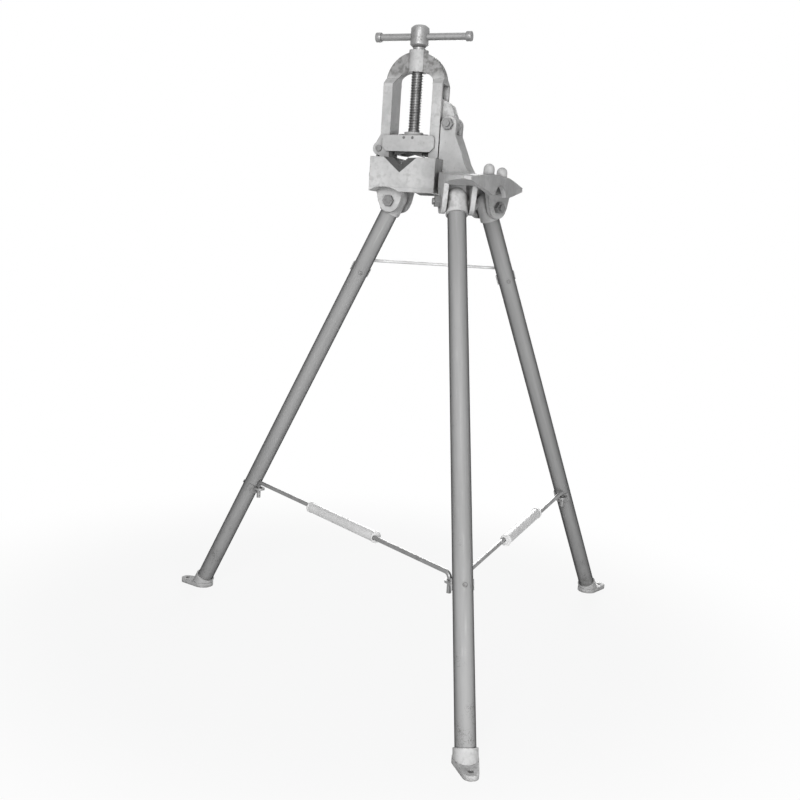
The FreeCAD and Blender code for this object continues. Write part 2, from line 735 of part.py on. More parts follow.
def build_yoke():
    """A channel-section arch with the screw's boss, the hinge knuckle and the latch's ears."""
    inner, outer = size("yoke_inner_half"), size("yoke_outer_half")
    spring, top = YOKE_SPRING, YOKE_INNER_TOP
    corner, depth = size("yoke_corner"), size("yoke_half_depth")
    crown = YOKE_CROWN
    arch = prism("yoke_arch", [
        (-outer, YOKE_BOTTOM), (-inner, YOKE_BOTTOM), (-inner, top - corner),
        (-inner + corner, top, -corner), (inner - corner, top), (inner, top - corner, -corner),
        (inner, YOKE_BOTTOM), (outer, YOKE_BOTTOM), (outer, spring), (0, crown, outer),
        (-outer, spring, outer)], -depth, depth)
    web = inner + size("yoke_web")
    far = outer + size("yoke_web") * 2
    foot = YOKE_BOTTOM + size("yoke_foot_height")
    knuckle_top = HINGE_Z + size("knuckle_gusset")
    side = depth - size("yoke_flange")
    channels = [prism("yoke_channel_left", [(-web, foot), (-web, spring), (-far, spring), (-far, foot)],
                      -side, side),
                prism("yoke_channel_right", [(web, knuckle_top), (far, knuckle_top), (far, spring),
                                             (web, spring)], -side, side)]
    # The legs' flanges slope back to a thinner crown, which the screw's boss stands out from.
    thin = size("yoke_crown_half_depth")
    slope = [(thin, spring + depth - thin), (depth + CLEAR, spring - CLEAR), (depth + CLEAR, crown + CLEAR),
             (thin, crown + CLEAR)]
    slopes = [prism("yoke_slope_a", slope, -far, far, "yz"),
              prism("yoke_slope_b", [(-y, z) for y, z in slope], -far, far, "yz")]
    hollow = cut("yoke_channelled", arch, *channels, *slopes)
    boss = rod("yoke_boss", size("yoke_boss_dia") / 2, top, BOSS_TOP)
    x, z = HINGE_X, HINGE_Z
    wide = size("knuckle_half_width")
    knuckle = rod("yoke_knuckle", size("knuckle_radius"), -wide, wide, (x, z), "y")
    corner_out = size("knuckle_radius") * cosine(45)
    arm = prism("yoke_knuckle_web", [
        (web, z - size("knuckle_web_half")), (x, z - size("knuckle_web_half")),
        (x + corner_out, z + corner_out), (x, z + size("knuckle_shoulder")),
        (outer, z + size("knuckle_gusset")),
        (web, z + size("knuckle_gusset"))], -wide, wide)
    low = size("latch_half_width") + size("slide_gap")
    high = depth
    ears = []
    reach, radius = LATCH_X, size("latch_ear_radius")
    cheek_top = LATCH_Z + size("latch_ear_rise")
    for name, near, away in (("a", low, high), ("b", -high, -low)):
        eye = rod(f"latch_ear_eye_{name}", radius, near, away, (-reach, LATCH_Z), "y")
        cheek = prism(f"latch_ear_cheek_{name}", [
            (-outer + MERGE, LATCH_Z - radius), (-outer + MERGE, cheek_top), (-outer, cheek_top),
            (-reach - radius, LATCH_Z),
            (-reach, LATCH_Z - radius)], near, away)
        ears += [eye, cheek]
    room = size("latch_eye_radius") + size("slide_gap")
    slot = box("yoke_latch_slot", (-far, -reach + room), (-low, low),
               (YOKE_BOTTOM - CLEAR, LATCH_Z + room))
    solid = fuse("yoke_solid", cut("yoke_slotted", hollow, slot), boss, knuckle, arm, *ears)
    fit = size("running_fit")
    bores = [rod("yoke_screw_bore", size("screw_dia") / 2 + fit, top - CLEAR, BOSS_TOP + CLEAR),
             rod("yoke_hinge_bore", size("hinge_pin_dia") / 2 + fit, -wide - CLEAR, wide + CLEAR,
                 (x, z), "y"),
             rod("yoke_latch_bore", size("latch_pin_dia") / 2, -high - CLEAR, high + CLEAR,
                 (-reach, LATCH_Z), "y")]
    in_vise("yoke", cut("yoke_bored", solid, *bores))


def build_latch():
    x, z = -LATCH_X, LATCH_Z
    eye = rod("latch_eye", size("latch_eye_radius"), -size("latch_half_width"), size("latch_half_width"),
              (x, z), "y")
    run = on_block("catch_tip_z") - on_block("catch_low_z")
    lean = run / size("catch_reach")
    nose_x, nose_z = -size("latch_nose_x"), on_block("latch_nose_z")
    arm_in, arm_out = -size("latch_arm_in"), -size("latch_arm_out")
    lip = size("latch_lip")
    arm = prism("latch_arm", [
        (nose_x, nose_z), (nose_x, nose_z - size("latch_nose_depth")),
        (arm_in, nose_z - size("latch_hook_depth")), (arm_out - lip, nose_z - lip),
        (arm_out - lip, nose_z - lip + size("latch_lip_height")), (arm_out, nose_z + lip),
        (x - size("latch_eye_radius"), z), (x, z), (arm_in, z - size("latch_shoulder")),
        (arm_in, nose_z + lean * (size("latch_arm_in") - size("latch_nose_x")))],
        -size("latch_half_width"), size("latch_half_width"))
    bore = rod("latch_bore", size("latch_pin_dia") / 2 + size("running_fit"),
               -size("latch_half_width") - CLEAR, size("latch_half_width") + CLEAR, (x, z), "y")
    in_vise("latch_hook", cut("latch_bored", fuse("latch_solid", eye, arm), bore))
    half = size("yoke_half_depth")
    outer = half + size("latch_pin_head")
    pin = rod("latch_pin_shank", size("latch_pin_dia") / 2, -half, half, (x, z), "y")
    heads = [rod(f"latch_pin_head_{name}", size("latch_pin_head_dia") / 2, low, high, (x, z), "y")
             for name, low, high in (("a", half, outer), ("b", -outer, -half))]
    in_vise("latch_pin", fuse("latch_pin_whole", pin, *heads))


def pin_spot():
    """How far each retaining pin stands from the screw's axis."""
    return size("groove_dia") / 2 + size("retaining_pin_dia") / 2 + size("running_fit") * 2


def groove_z():
    return SCREW_SEAT - size("groove_drop")


def build_crosshead():
    """The slide between the yoke's legs, with cheeks that lap their flanges."""
    gap = size("slide_gap")
    inner = size("yoke_inner_half") - gap
    near = size("yoke_half_depth") + gap
    far = near + size("crosshead_cheek")
    low, top = CROSSHEAD_BOTTOM, CROSSHEAD_TOP
    wide, slope = size("crosshead_half_width"), size("crosshead_chamfer")
    middle = box("crosshead_middle", (-inner, inner), (-far, far), (low, top))
    cheeks = [prism(f"crosshead_cheek_{name}", [
        (-wide, low + slope), (-wide + slope * 2, low - slope), (wide - slope * 2, low - slope),
        (wide, low + slope), (wide, top - slope), (wide - slope, top), (-wide + slope, top),
        (-wide, top - slope)], y_low, y_high)
        for name, y_low, y_high in (("a", near, far), ("b", -far, -near))]
    collar = rod("crosshead_collar", size("crosshead_collar_dia") / 2, top,
                 top + size("crosshead_collar_height"))
    bore = rod("crosshead_bore", size("screw_tip_dia") / 2 + size("running_fit"),
               SCREW_SEAT - size("screw_tip_length") - gap, SCREW_SEAT + CLEAR)
    slots = [rod(f"crosshead_pin_hole_{name}", size("retaining_pin_dia") / 2, -far - CLEAR, far + CLEAR,
                 (spot, groove_z()), "y") for name, spot in (("a", pin_spot()), ("b", -pin_spot()))]
    holes = [rod(f"upper_screw_hole_{name}", size("jaw_screw_dia") / 2, low - CLEAR, top + CLEAR, (spot, 0))
             for name, spot in (("a", size("upper_jaw_half_width")), ("b", -size("upper_jaw_half_width")))]
    body = fuse("crosshead_solid", middle, *cheeks, collar)
    in_vise("crosshead", cut("crosshead_bored", body, bore, *slots, *holes))
    pins = [rod(f"retaining_pin_{name}", size("retaining_pin_dia") / 2, -far, far, (spot, groove_z()), "y")
            for name, spot in (("a", pin_spot()), ("b", -pin_spot()))]
    in_vise("retaining_pins", group("retaining_pin_pair", *pins))


def build_upper_jaw():
    """The toothed cap that grips the pipe from above."""
    top = CROSSHEAD_BOTTOM
    low = top - size("upper_jaw_height")
    wide, rise = size("upper_jaw_half_width"), size("upper_jaw_rise")
    lip = size("upper_jaw_lip")
    mouth = wide - lip
    tilt = slope_angle(rise, mouth)
    teeth = int(SIZES["upper_jaw_half_width"] / SIZES["tooth_pitch"]) - 1
    side = [(0, low + rise)]
    for index in range(teeth):
        peak = size("tooth_pitch") * (size("tooth_lean") + index)
        valley = size("tooth_pitch") * (index + 1)
        side.append((peak, low + rise - peak * (rise / mouth) - size("tooth_height")))
        side.append((valley, low + rise - valley * (rise / mouth)))
    side += [(mouth, low), (wide + lip, low), (wide + lip, top)]
    points = side + [(-x, z) for x, z in reversed(side[1:])]
    depth = size("upper_jaw_half_depth")
    body = prism("upper_jaw_body", points, -depth, depth)
    screw_low = low + size("jaw_screw_cover")
    holes = [rod(f"upper_jaw_hole_{name}", size("jaw_screw_dia") / 2, screw_low, top + CLEAR, (spot, 0))
             for name, spot in (("a", wide), ("b", -wide))]
    in_vise("upper_jaw", cut("upper_jaw_drilled", body, *holes))
    screws = []
    for name, spot in (("a", wide), ("b", -wide)):
        shank = rod(f"upper_screw_shank_{name}", size("jaw_screw_dia") / 2, screw_low,
                    CROSSHEAD_TOP, (spot, 0))
        head = hexagon(f"upper_screw_head_{name}", size("jaw_screw_hex"), CROSSHEAD_TOP,
                       CROSSHEAD_TOP + size("jaw_screw_head"), (spot, 0))
        screws.append(fuse(f"upper_screw_{name}", shank, head))
    in_vise("upper_jaw_screws", group("upper_screws", *screws))


def build_screw():
    radius = size("screw_dia") / 2
    boss_top = BOSS_TOP + size("slide_gap")
    neck_top = boss_top + size("screw_neck_height")
    shaft = rod("screw_shaft", radius, SCREW_SEAT, boss_top)
    tip = rod("screw_tip", size("screw_tip_dia") / 2, SCREW_SEAT - size("screw_tip_length"), SCREW_SEAT)
    blank = rod("screw_groove_blank", radius, groove_z() - size("groove_width") / 2,
                groove_z() + size("groove_width") / 2)
    core = rod("screw_groove_core", size("groove_dia") / 2, groove_z() - size("groove_width"),
               groove_z() + size("groove_width"))
    groove = cut("screw_groove", blank, core)
    neck = rod("screw_neck", size("screw_neck_dia") / 2, boss_top, neck_top)
    drum = rod("screw_drum", size("screw_head_dia") / 2, neck_top, neck_top + size("screw_head_height"))
    crown = ball("screw_crown", size("screw_head_crown"), (0, 0, HANDLE_Z))
    head = common("screw_head", drum, crown)
    eye = rod("screw_eye", size("handle_dia") / 2 + size("running_fit"), -size("screw_head_dia"),
              size("screw_head_dia"), (0, HANDLE_Z), "x")
    in_vise("screw", cut("screw_eyed", fuse("screw_solid", shaft, tip, neck, head), groove, eye))


def build_handle():
    half = size("handle_length") / 2
    shift, cap = size("handle_shift"), size("handle_end_length")
    bar = rod("handle_rod", size("handle_dia") / 2, shift - half, shift + half, (0, HANDLE_Z), "x")
    in_vise("handle_bar", group("handle_whole", bar))
    ends = []
    for name, low in (("a", shift - half), ("b", shift + half - cap)):
        high = low + cap
        drum = rod(f"handle_end_drum_{name}", size("handle_end_dia") / 2, low, high, (0, HANDLE_Z), "x")
        crown = ball(f"handle_end_crown_{name}", size("handle_end_crown"),
                     ((low + high) / 2, 0, HANDLE_Z))
        bore = rod(f"handle_end_bore_{name}", size("handle_dia") / 2, low - CLEAR, high + CLEAR,
                   (0, HANDLE_Z), "x")
        ends.append(cut(f"handle_end_{name}", common(f"handle_end_round_{name}", drum, crown), bore))
    in_vise("handle_ends", group("handle_end_pair", *ends))


# Legs -----------------------------------------------------------------------------------------

def build_leg(leg):
    tilt = ("y", -SPLAY)
    radius, tube = size("socket_dia") / 2, size("tube_dia") / 2
    drum = rod(f"{leg}_socket_drum", radius, -size("socket_below"), size("socket_above"))
    dome = ball(f"{leg}_socket_dome", radius, (0, 0, size("socket_above")))
    mouth = rod(f"{leg}_socket_mouth", tube, -size("socket_below") - CLEAR, -size("tube_top_drop"))
    eye = rod(f"{leg}_socket_eye", size("pivot_bolt_dia") / 2 + size("running_fit"), -radius - CLEAR,
              radius + CLEAR, along="y")
    socket = cut(f"{leg}_socket_bored", fuse(f"{leg}_socket_solid", drum, dome), mouth, eye)
    keep(f"{leg}_leg_socket", place(socket, *at_pivot(leg, [tilt])))

    low = -LEG_LENGTH + size("tube_foot_gap")
    skin = rod(f"{leg}_tube_skin", tube, low, -size("tube_top_drop"))
    core = rod(f"{leg}_tube_core", tube - size("tube_wall"), low - CLEAR, -size("tube_top_drop") + CLEAR)
    holes = [rivet_hole(f"{leg}_tube_hole_{index}", facing, -drop)
             for index, (drop, facing) in enumerate(SADDLES[leg])]
    keep(f"{leg}_leg_tube", place(cut(f"{leg}_tube", skin, core, *holes), *at_pivot(leg, [tilt])))

    bolt, nut = cross_bolt(f"{leg}_pivot", size("pivot_bolt_dia"), size("pivot_hex"),
                           size("pivot_head_height"), size("pivot_nut_height"), EAR_OUT)
    keep(f"{leg}_pivot_bolt", place(bolt, *at_pivot(leg)))
    keep(f"{leg}_pivot_nut", place(nut, *at_pivot(leg)))
    build_shoe(leg)


def build_shoe(leg):
    """A cast shoe with a round heel, a toe with a floor screw's hole, and a collar for the tube."""
    heel, toe = size("shoe_heel_radius"), size("toe_radius")
    heel_x = -size("shoe_heel_back")
    toe_x = size("toe_ring") - size("foot_ring")
    lean = (heel - toe) / (toe_x - heel_x)
    flat = root(1 - lean * lean)
    plan = [(heel_x + heel * lean, -heel * flat, heel), (toe_x + toe * lean, -toe * flat),
            (toe_x + toe, 0, toe), (toe_x + toe * lean, toe * flat, toe),
            (heel_x + heel * lean, heel * flat), (heel_x - heel, 0, heel)]
    sole = prism(f"{leg}_shoe_sole", plan, 0, size("shoe_sole"), "xy")
    radius = size("shoe_collar_dia") / 2
    tilt = ("y", -SPLAY)
    collar = place(rod(f"{leg}_shoe_collar", radius, -radius, size("shoe_collar_height")),
                   (radius * sine(SPLAY), 0, -radius * cosine(SPLAY)), [tilt])
    below = box(f"{leg}_shoe_below", (-radius * 2, radius * 2), (-radius * 2, radius * 2), (-radius * 2, 0))
    gap = size("tube_foot_gap")
    bore = place(rod(f"{leg}_shoe_bore", size("tube_dia") / 2, gap, size("shoe_collar_height") + gap),
                 (-gap * sine(SPLAY), 0, gap * cosine(SPLAY)), [tilt])
    hole = rod(f"{leg}_shoe_hole", size("floor_hole_dia") / 2, -CLEAR, size("shoe_sole") + CLEAR,
               (toe_x, 0))
    solid = fuse(f"{leg}_shoe_solid", sole, collar)
    shoe = cut(f"{leg}_shoe_bored", solid, below, bore, hole)
    keep(f"{leg}_shoe", place(shoe, *on_leg_line(leg, size("foot_ring"), as_size(0))))


# Stays, saddles and tie rod -------------------------------------------------------------------

def rivet_z(facing):
    """How far along the tube a saddle's rivet lies from the point where its lug is level."""
    return saddle_z(facing) - size("rivet_drop")


def saddle_z(facing):
    return -(size("tube_dia") / 2 + size("saddle_wall")) * cosine(facing) * sine(SPLAY)


def rivet_hole(name, facing, level):
    reach = size("tube_dia") / 2 + size("saddle_wall") + CLEAR
    bore = rod(name + "_bore", size("rivet_dia") / 2, -reach, reach, (0, level + rivet_z(facing)), "x")
    return place(group(name, bore), (0, 0, 0), [("z", facing)])


def build_saddle(node, rivet_node, leg, drop, facing, lugs):
    """A half band riveted to a leg's tube; its lugs are solids drawn about the tube's centre."""
    tilt = ("y", -SPLAY)
    tube = size("tube_dia") / 2
    skin = tube + size("saddle_wall")
    top = saddle_z(facing) + size("saddle_above")
    low = top - size("saddle_height")
    band = rod(node + "_band", skin, low, top)
    back = box(node + "_back", (-skin - CLEAR, size("saddle_open")), (-skin - CLEAR, skin + CLEAR),
               (low - CLEAR, top + CLEAR))
    half_band = place(cut(node + "_half", band, back), (0, 0, 0), [tilt, ("z", facing)])
    bore = rod(node + "_bore", tube, low - skin, top + skin)
    voids = fuse(node + "_voids", bore, rivet_hole(node + "_hole", facing, 0))
    place(voids, (0, 0, 0), [tilt])
    saddle = cut(node + "_cut", fuse(node + "_solid", half_band, *lugs), voids)
    keep(node, place(saddle, *down_leg(leg, drop)))

    level = (0, rivet_z(facing))
    head, radius = size("rivet_head"), size("rivet_head_dia") / 2
    shank = rod(rivet_node + "_shank", size("rivet_dia") / 2, -tube, skin, level, "x")
    near = rod(rivet_node + "_head", radius, skin, skin + head, level, "x")
    away = rod(rivet_node + "_tail", radius, -tube - head, -tube, level, "x")
    rivet = fuse(rivet_node + "_whole", shank, near, away)
    keep(rivet_node, place(rivet, *down_leg(leg, drop, [tilt, ("z", facing)])))


def build_stay_lug(name, heading, slotted):
    """A flat lug, level at rest, that a stay's hooked rod drops through."""
    reach, side = size("stay_reach"), size("stay_side")
    hole = size("eye_hole_dia") / 2
    rim = hole + size("eye_rim")
    thick = size("lug_thick") / 2
    far = reach + (size("eye_slot") if slotted else 0)
    plate = box(name + "_plate", (0, far), (side - rim, side + rim), (-thick, thick))
    tip = rod(name + "_tip", rim, -thick, thick, (far, side))
    eye = rod(name + "_eye", hole, -thick - CLEAR, thick + CLEAR, (reach, side))
    tools = [eye]
    if slotted:
        tools.append(rod(name + "_eye_far", hole, -thick - CLEAR, thick + CLEAR, (far, side)))
        tools.append(box(name + "_slot", (reach, far), (side - hole, side + hole),
                         (-thick - CLEAR, thick + CLEAR)))
    lug = cut(name + "_lug", fuse(name + "_blank", plate, tip), *tools)
    return place(lug, (0, 0, 0), [("z", heading)])


def stay_geometry():
    """The stay's span between hooks, and where each rod ends inside the sleeve."""
    ring = size("pivot_ring") + size("stay_drop") * sine(SPLAY)
    span = ring * 2 * sine(size("leg_azimuth")) - size("stay_reach") * 2
    sleeve_start = (span - size("sleeve_length")) / 2
    return ring, span, sleeve_start, sleeve_start + size("stay_overlap")


def hooked_rod(name, dia, bend, drop, thick, length):
    """A rod along x from a hook that drops through a lug at the origin."""
    rise = as_size(thick) / 2 + bend
    radius = dia / 2
    hook = rod(name + "_hook", radius, -drop, thick / 2)
    quarter = doc.addObject("Part::Torus", name + "_bend")
    quarter.setExpression("Radius1", as_size(bend).text)
    quarter.setExpression("Radius2", radius.text)
    quarter.Angle3 = 90
    place(quarter, (bend, 0, rise - bend), [("x", 90), ("z", 90)])
    bar = rod(name + "_bar", radius, bend, length, (0, rise), "x")
    return fuse(name + "_rod", hook, quarter, bar), rise


def build_stay(side, heading):
    """The telescopic stay from the front leg towards another; heading is its azimuth."""
    ring, span, sleeve_start, rod_end = stay_geometry()
    dia = size("stay_rod_dia")
    angle = azimuth("front")
    height = size("pivot_height") - size("stay_drop") * cosine(SPLAY)
    hub_x, hub_y = AXIS_X + ring * cosine(angle), ring * sine(angle)

    def at(along, across):
        return (hub_x + along * cosine(heading) - across * sine(heading),
                hub_y + along * sine(heading) + across * cosine(heading), height)

    near, rise = hooked_rod(f"{side}_stay_near", dia, size("stay_bend"), size("stay_hook_drop"),
                            size("lug_thick"), rod_end)
    # The stay pulls, so its front hook bears on the far side of the eye.
    play = (size("eye_hole_dia") - dia) / 2
    keep(f"{side}_stay_front_rod", place(near, at(size("stay_reach") + play, size("stay_side")),
                                         [("z", heading)]))
    away, rise = hooked_rod(f"{side}_stay_far", dia, size("stay_bend"), size("stay_hook_drop"),
                            size("lug_thick"), rod_end)
    keep(f"{side}_stay_far_rod", place(away, at(size("stay_reach") + span, -size("stay_side")),
                                       [("z", heading + 180)]))
    radius = size("sleeve_dia") / 2
    start = size("stay_reach") + sleeve_start
    end = start + size("sleeve_length")
    cap = size("sleeve_cap_thick")
    skin = rod(f"{side}_sleeve_skin", radius, start + cap, end - cap, (0, rise), "x")
    core = rod(f"{side}_sleeve_core", radius - size("sleeve_wall"), start, end, (0, rise), "x")
    keep(f"{side}_stay_sleeve", place(cut(f"{side}_sleeve", skin, core), at(as_size(0), as_size(0)),
                                      [("z", heading)]))
    caps = []
    for name, low, spot in (("near", start, size("stay_side")), ("away", end - cap, -size("stay_side"))):
        disc = rod(f"{side}_cap_{name}", radius + size("sleeve_wall"), low, low + cap, (0, rise), "x")
        hole = rod(f"{side}_cap_hole_{name}", dia / 2 + size("slide_gap"), low - CLEAR, low + cap + CLEAR,
                   (spot, rise), "x")
        caps.append(cut(f"{side}_cap_{name}_bored", disc, hole))
    keep(f"{side}_stay_caps", place(group(f"{side}_cap_pair", *caps), at(as_size(0), as_size(0)),
                                    [("z", heading)]))


def build_stays():
    half_corner = QUARTER_TURN - size("leg_azimuth")
    front = azimuth("front")
    build_stay("left", front + INWARD + half_corner)
    build_stay("right", front + INWARD - half_corner)
    drop = size("stay_drop")
    build_saddle("front_stay_saddle", "front_stay_rivet", "front", drop, INWARD,
                 [build_stay_lug("front_lug_a", INWARD + half_corner, False),
                  build_stay_lug("front_lug_b", INWARD - half_corner, False)])
    build_saddle("left_stay_saddle", "left_stay_rivet", "left", drop, INWARD,
                 [build_stay_lug("left_lug", INWARD - half_corner, True)])
    build_saddle("right_stay_saddle", "right_stay_rivet", "right", drop, INWARD,
                 [build_stay_lug("right_lug", INWARD + half_corner, True)])


def build_tie():
    """The thin rod behind the left and right legs: hooked at the left, free to slide at the right."""
    reach, hole = size("tie_reach"), size("tie_hole_dia") / 2
    rim = hole + size("tie_rim")
    thick = size("lug_thick") / 2
    rise = thick + size("tie_bend")
    plate = box("tie_lug_plate", (0, reach), (-rim, rim), (-thick, thick))
    tip = rod("tie_lug_tip", rim, -thick, thick, (reach, 0))
    eye = rod("tie_lug_eye", hole, -thick - CLEAR, thick + CLEAR, (reach, 0))
    lug = place(cut("tie_lug", fuse("tie_lug_blank", plate, tip), eye), (0, 0, 0), [("z", -TIE_LEAN)])
    build_saddle("left_tie_saddle", "left_tie_rivet", "left", size("tie_drop"), -TIE_LEAN, [lug])

    # On the right leg the rod passes through an upright ring, square to it.
    web = box("tie_ring_web", (0, reach), (-thick, thick), (-thick, rise + rim))
    disc = rod("tie_ring_disc", rim, -thick, thick, (reach, rise), "y")
    ring_eye = rod("tie_ring_eye", hole, -thick - CLEAR, thick + CLEAR, (reach, rise), "y")
    ring = place(cut("tie_ring", fuse("tie_ring_blank", web, disc), ring_eye), (0, 0, 0), [("z", TIE_LEAN)])
    build_saddle("right_tie_saddle", "right_tie_rivet", "right", size("tie_drop"), TIE_LEAN, [ring])

    angle = azimuth("left")
    heading = (angle + azimuth("right")) / 2 - QUARTER_TURN
    radial = size("pivot_ring") + size("tie_drop") * sine(SPLAY)
    height = size("pivot_height") - size("tie_drop") * cosine(SPLAY)
    side = angle - TIE_LEAN
    spot = (AXIS_X + radial * cosine(angle) + reach * cosine(side),
            radial * sine(angle) + reach * sine(side), height)
    span = radial * 2 * sine(size("leg_azimuth"))
    length = span + thick + size("tie_tail") + size("tie_stop_length")
    bar, rise = hooked_rod("tie", size("tie_dia"), size("tie_bend"), size("tie_hook_drop"),
                           size("lug_thick"), length)
    keep("tie_rod", place(bar, spot, [("z", heading)]))
    stop_start = span + thick + size("slide_gap")
    drum = rod("tie_stop_drum", size("tie_stop_dia") / 2, stop_start,
               stop_start + size("tie_stop_length"), (0, rise), "x")
    bore = rod("tie_stop_bore", size("tie_dia") / 2, stop_start - CLEAR,
               stop_start + size("tie_stop_length") + CLEAR, (0, rise), "x")
    keep("tie_rod_stop", place(cut("tie_stop", drum, bore), spot, [("z", heading)]))


def main():
    build_head()
    build_lower_jaw()
    build_hinge_pin()
    build_yoke()
    build_latch()
    build_crosshead()
    build_upper_jaw()
    build_screw()
    build_handle()
    for leg in LEG_TURNS:
        build_leg(leg)
    build_stays()
    build_tie()
    doc.recompute()
    for item in doc.Objects:
        if "Invalid" in item.State or "Error" in item.State:
            raise RuntimeError(f"{item.Name} did not compute: {item.State}")
    os.makedirs("parts", exist_ok=True)
    for item in pieces:
        if item.Shape.isNull() or not item.Shape.isValid() or not item.Shape.Solids:
            raise RuntimeError(f"{item.Label} has no sound shape")
        item.Shape.exportStep(os.path.join("parts", item.Label + ".step"))
        print(f"{item.Label}: {len(item.Shape.Solids)} solid(s), {item.Shape.Volume:.0f} mm3")
    print(f"{len(pieces)} nodes")


main()
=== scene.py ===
"""Finishes, rounded castings and threads of a folding tripod stand with a yoke pipe vise."""

import json
import logging
import math
from dataclasses import dataclass
from enum import Enum
from typing import Any, Mapping, Optional, Sequence, Union

import bmesh
import bpy
from mathutils import Matrix, Vector


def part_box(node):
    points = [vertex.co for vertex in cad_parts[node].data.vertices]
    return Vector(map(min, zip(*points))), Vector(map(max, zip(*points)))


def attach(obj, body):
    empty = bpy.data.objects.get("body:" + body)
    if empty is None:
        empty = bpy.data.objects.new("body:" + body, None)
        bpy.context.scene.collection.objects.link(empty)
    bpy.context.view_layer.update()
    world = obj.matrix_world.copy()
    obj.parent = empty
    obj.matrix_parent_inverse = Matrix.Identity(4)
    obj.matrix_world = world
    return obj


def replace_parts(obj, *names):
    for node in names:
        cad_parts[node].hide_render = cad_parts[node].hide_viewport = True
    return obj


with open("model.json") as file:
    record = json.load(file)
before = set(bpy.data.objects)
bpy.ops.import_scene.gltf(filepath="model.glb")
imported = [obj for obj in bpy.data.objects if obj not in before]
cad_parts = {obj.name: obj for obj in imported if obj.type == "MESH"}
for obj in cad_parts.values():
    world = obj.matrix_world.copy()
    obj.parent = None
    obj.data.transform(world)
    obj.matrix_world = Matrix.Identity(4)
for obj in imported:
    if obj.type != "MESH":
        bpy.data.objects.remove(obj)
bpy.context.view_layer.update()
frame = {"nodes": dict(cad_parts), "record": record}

log = logging.getLogger("pipe_vise_stand")

Point = tuple[float, float, float]

MM = 0.001
LEG_AZIMUTHS: dict[str, float] = {"left": 180.0, "front": -60.0, "right": 60.0}
STAY_SIDES = ("left", "right")
WHITE = (1.0, 1.0, 1.0)
SAME_PLACE = 0.01 * MM  # heights or radii that differ by less count as one


# Shader graphs --------------------------------------------------------------------------------

Number = Union[float, int, "Field"]
Colour = tuple[float, float, float]

EDGE_SAMPLES = 4  # rays by which a surface point finds a sharp edge
CORNER_SAMPLES = 6  # rays by which it finds a corner


class Field:
    """A number that varies over a surface, written with Python operators."""

    def __init__(self, graph: "Tree", socket: bpy.types.NodeSocket) -> None:
        """Wrap a socket of a tree.

        Args:
            graph: The tree that the socket belongs to.
            socket: The output socket that carries the number.
        """
        self.graph = graph
        self.socket = socket

    def _math(self, operation: str, *values: Number) -> "Field":
        """Add a Math node.

        Args:
            operation: Blender's name of the operation.
            *values: What it works on.

        Returns:
            The node's result.
        """
        inputs = {index: value for index, value in enumerate(values)}
        node = self.graph.node("ShaderNodeMath", {"operation": operation}, inputs)
        return Field(self.graph, node.outputs[0])

    def __add__(self, other: Number) -> "Field":
        """Add a number."""
        return self._math("ADD", self, other)

    __radd__ = __add__

    def __sub__(self, other: Number) -> "Field":
        """Take a number away."""
        return self._math("SUBTRACT", self, other)

    def __rsub__(self, other: Number) -> "Field":
        """Take this field away from a number."""
        return self._math("SUBTRACT", other, self)

    def __mul__(self, other: Number) -> "Field":
        """Multiply by a number."""
        return self._math("MULTIPLY", self, other)

    __rmul__ = __mul__

    def __abs__(self) -> "Field":
        """Drop the sign."""
        return self._math("ABSOLUTE", self)

    def wave(self, per_metre: float) -> "Field":
        """A sine of this field.

        Args:
            per_metre: How many waves fit in a metre.

        Returns:
            A field between -1 and 1.
        """
        return self._math("SINE", self * (math.tau * per_metre))

    def clamped(self) -> "Field":
        """Keep the number between 0 and 1.

        Returns:
            The limited field.
        """
        return self._math("MINIMUM", self._math("MAXIMUM", self, 0.0), 1.0)

    def step(self, low: float, high: float) -> "Field":
        """Rise smoothly from 0 at low to 1 at high.

        Args:
            low: The value that gives 0.
            high: The value that gives 1.

        Returns:
            The smooth step of this field.
        """
        node = self.graph.node(
            "ShaderNodeMapRange",
            {"interpolation_type": "SMOOTHSTEP"},
            {"Value": self, "From Min": low, "From Max": high},
        )
        return Field(self.graph, node.outputs["Result"])


class Tree:
    """A node tree, with one way of adding a node to it."""

    def __init__(self, tree: bpy.types.NodeTree) -> None:
        """Wrap a node tree.

        Args:
            tree: The tree that nodes are added to.
        """
        self.tree = tree

    def node(
        self,
        kind: str,
        settings: Mapping[str, Any],
        inputs: Mapping[Union[int, str], Any],
    ) -> bpy.types.Node:
        """Add one node.

        Args:
            kind: Blender's name of the node type.
            settings: Properties that are set before the sockets.
            inputs: Socket names or indices with the values or links that they take.

        Returns:
            The new node.
        """
        made = self.tree.nodes.new(kind)
        for name, value in settings.items():
            setattr(made, name, value)
        for key, value in inputs.items():
            self.feed(made.inputs[key], value)
        return made

    def feed(self, target: bpy.types.NodeSocket, value: Any) -> None:
        """Give a socket a value, a field or another socket.

        Args:
            target: The socket that is fed.
            value: What it takes.
        """
        if isinstance(value, Field):
            value = value.socket
        if isinstance(value, bpy.types.NodeSocket):
            self.tree.links.new(value, target)
        elif target.type == "RGBA":
            target.default_value = (*value[:3], 1.0)
        else:
            target.default_value = value

    def white_rays(self) -> Field:
        """Tell the rays that should see plain white from those that carry light.

        Returns:
            1 for the camera's rays and those of gloss and glass, else 0.
        """
        rays = self.node("ShaderNodeLightPath", {}, {})
        seen = Field(self, rays.outputs["Is Camera Ray"])
        for name in ("Is Glossy Ray", "Is Transmission Ray"):
            seen = seen + Field(self, rays.outputs[name])
        return seen.clamped()


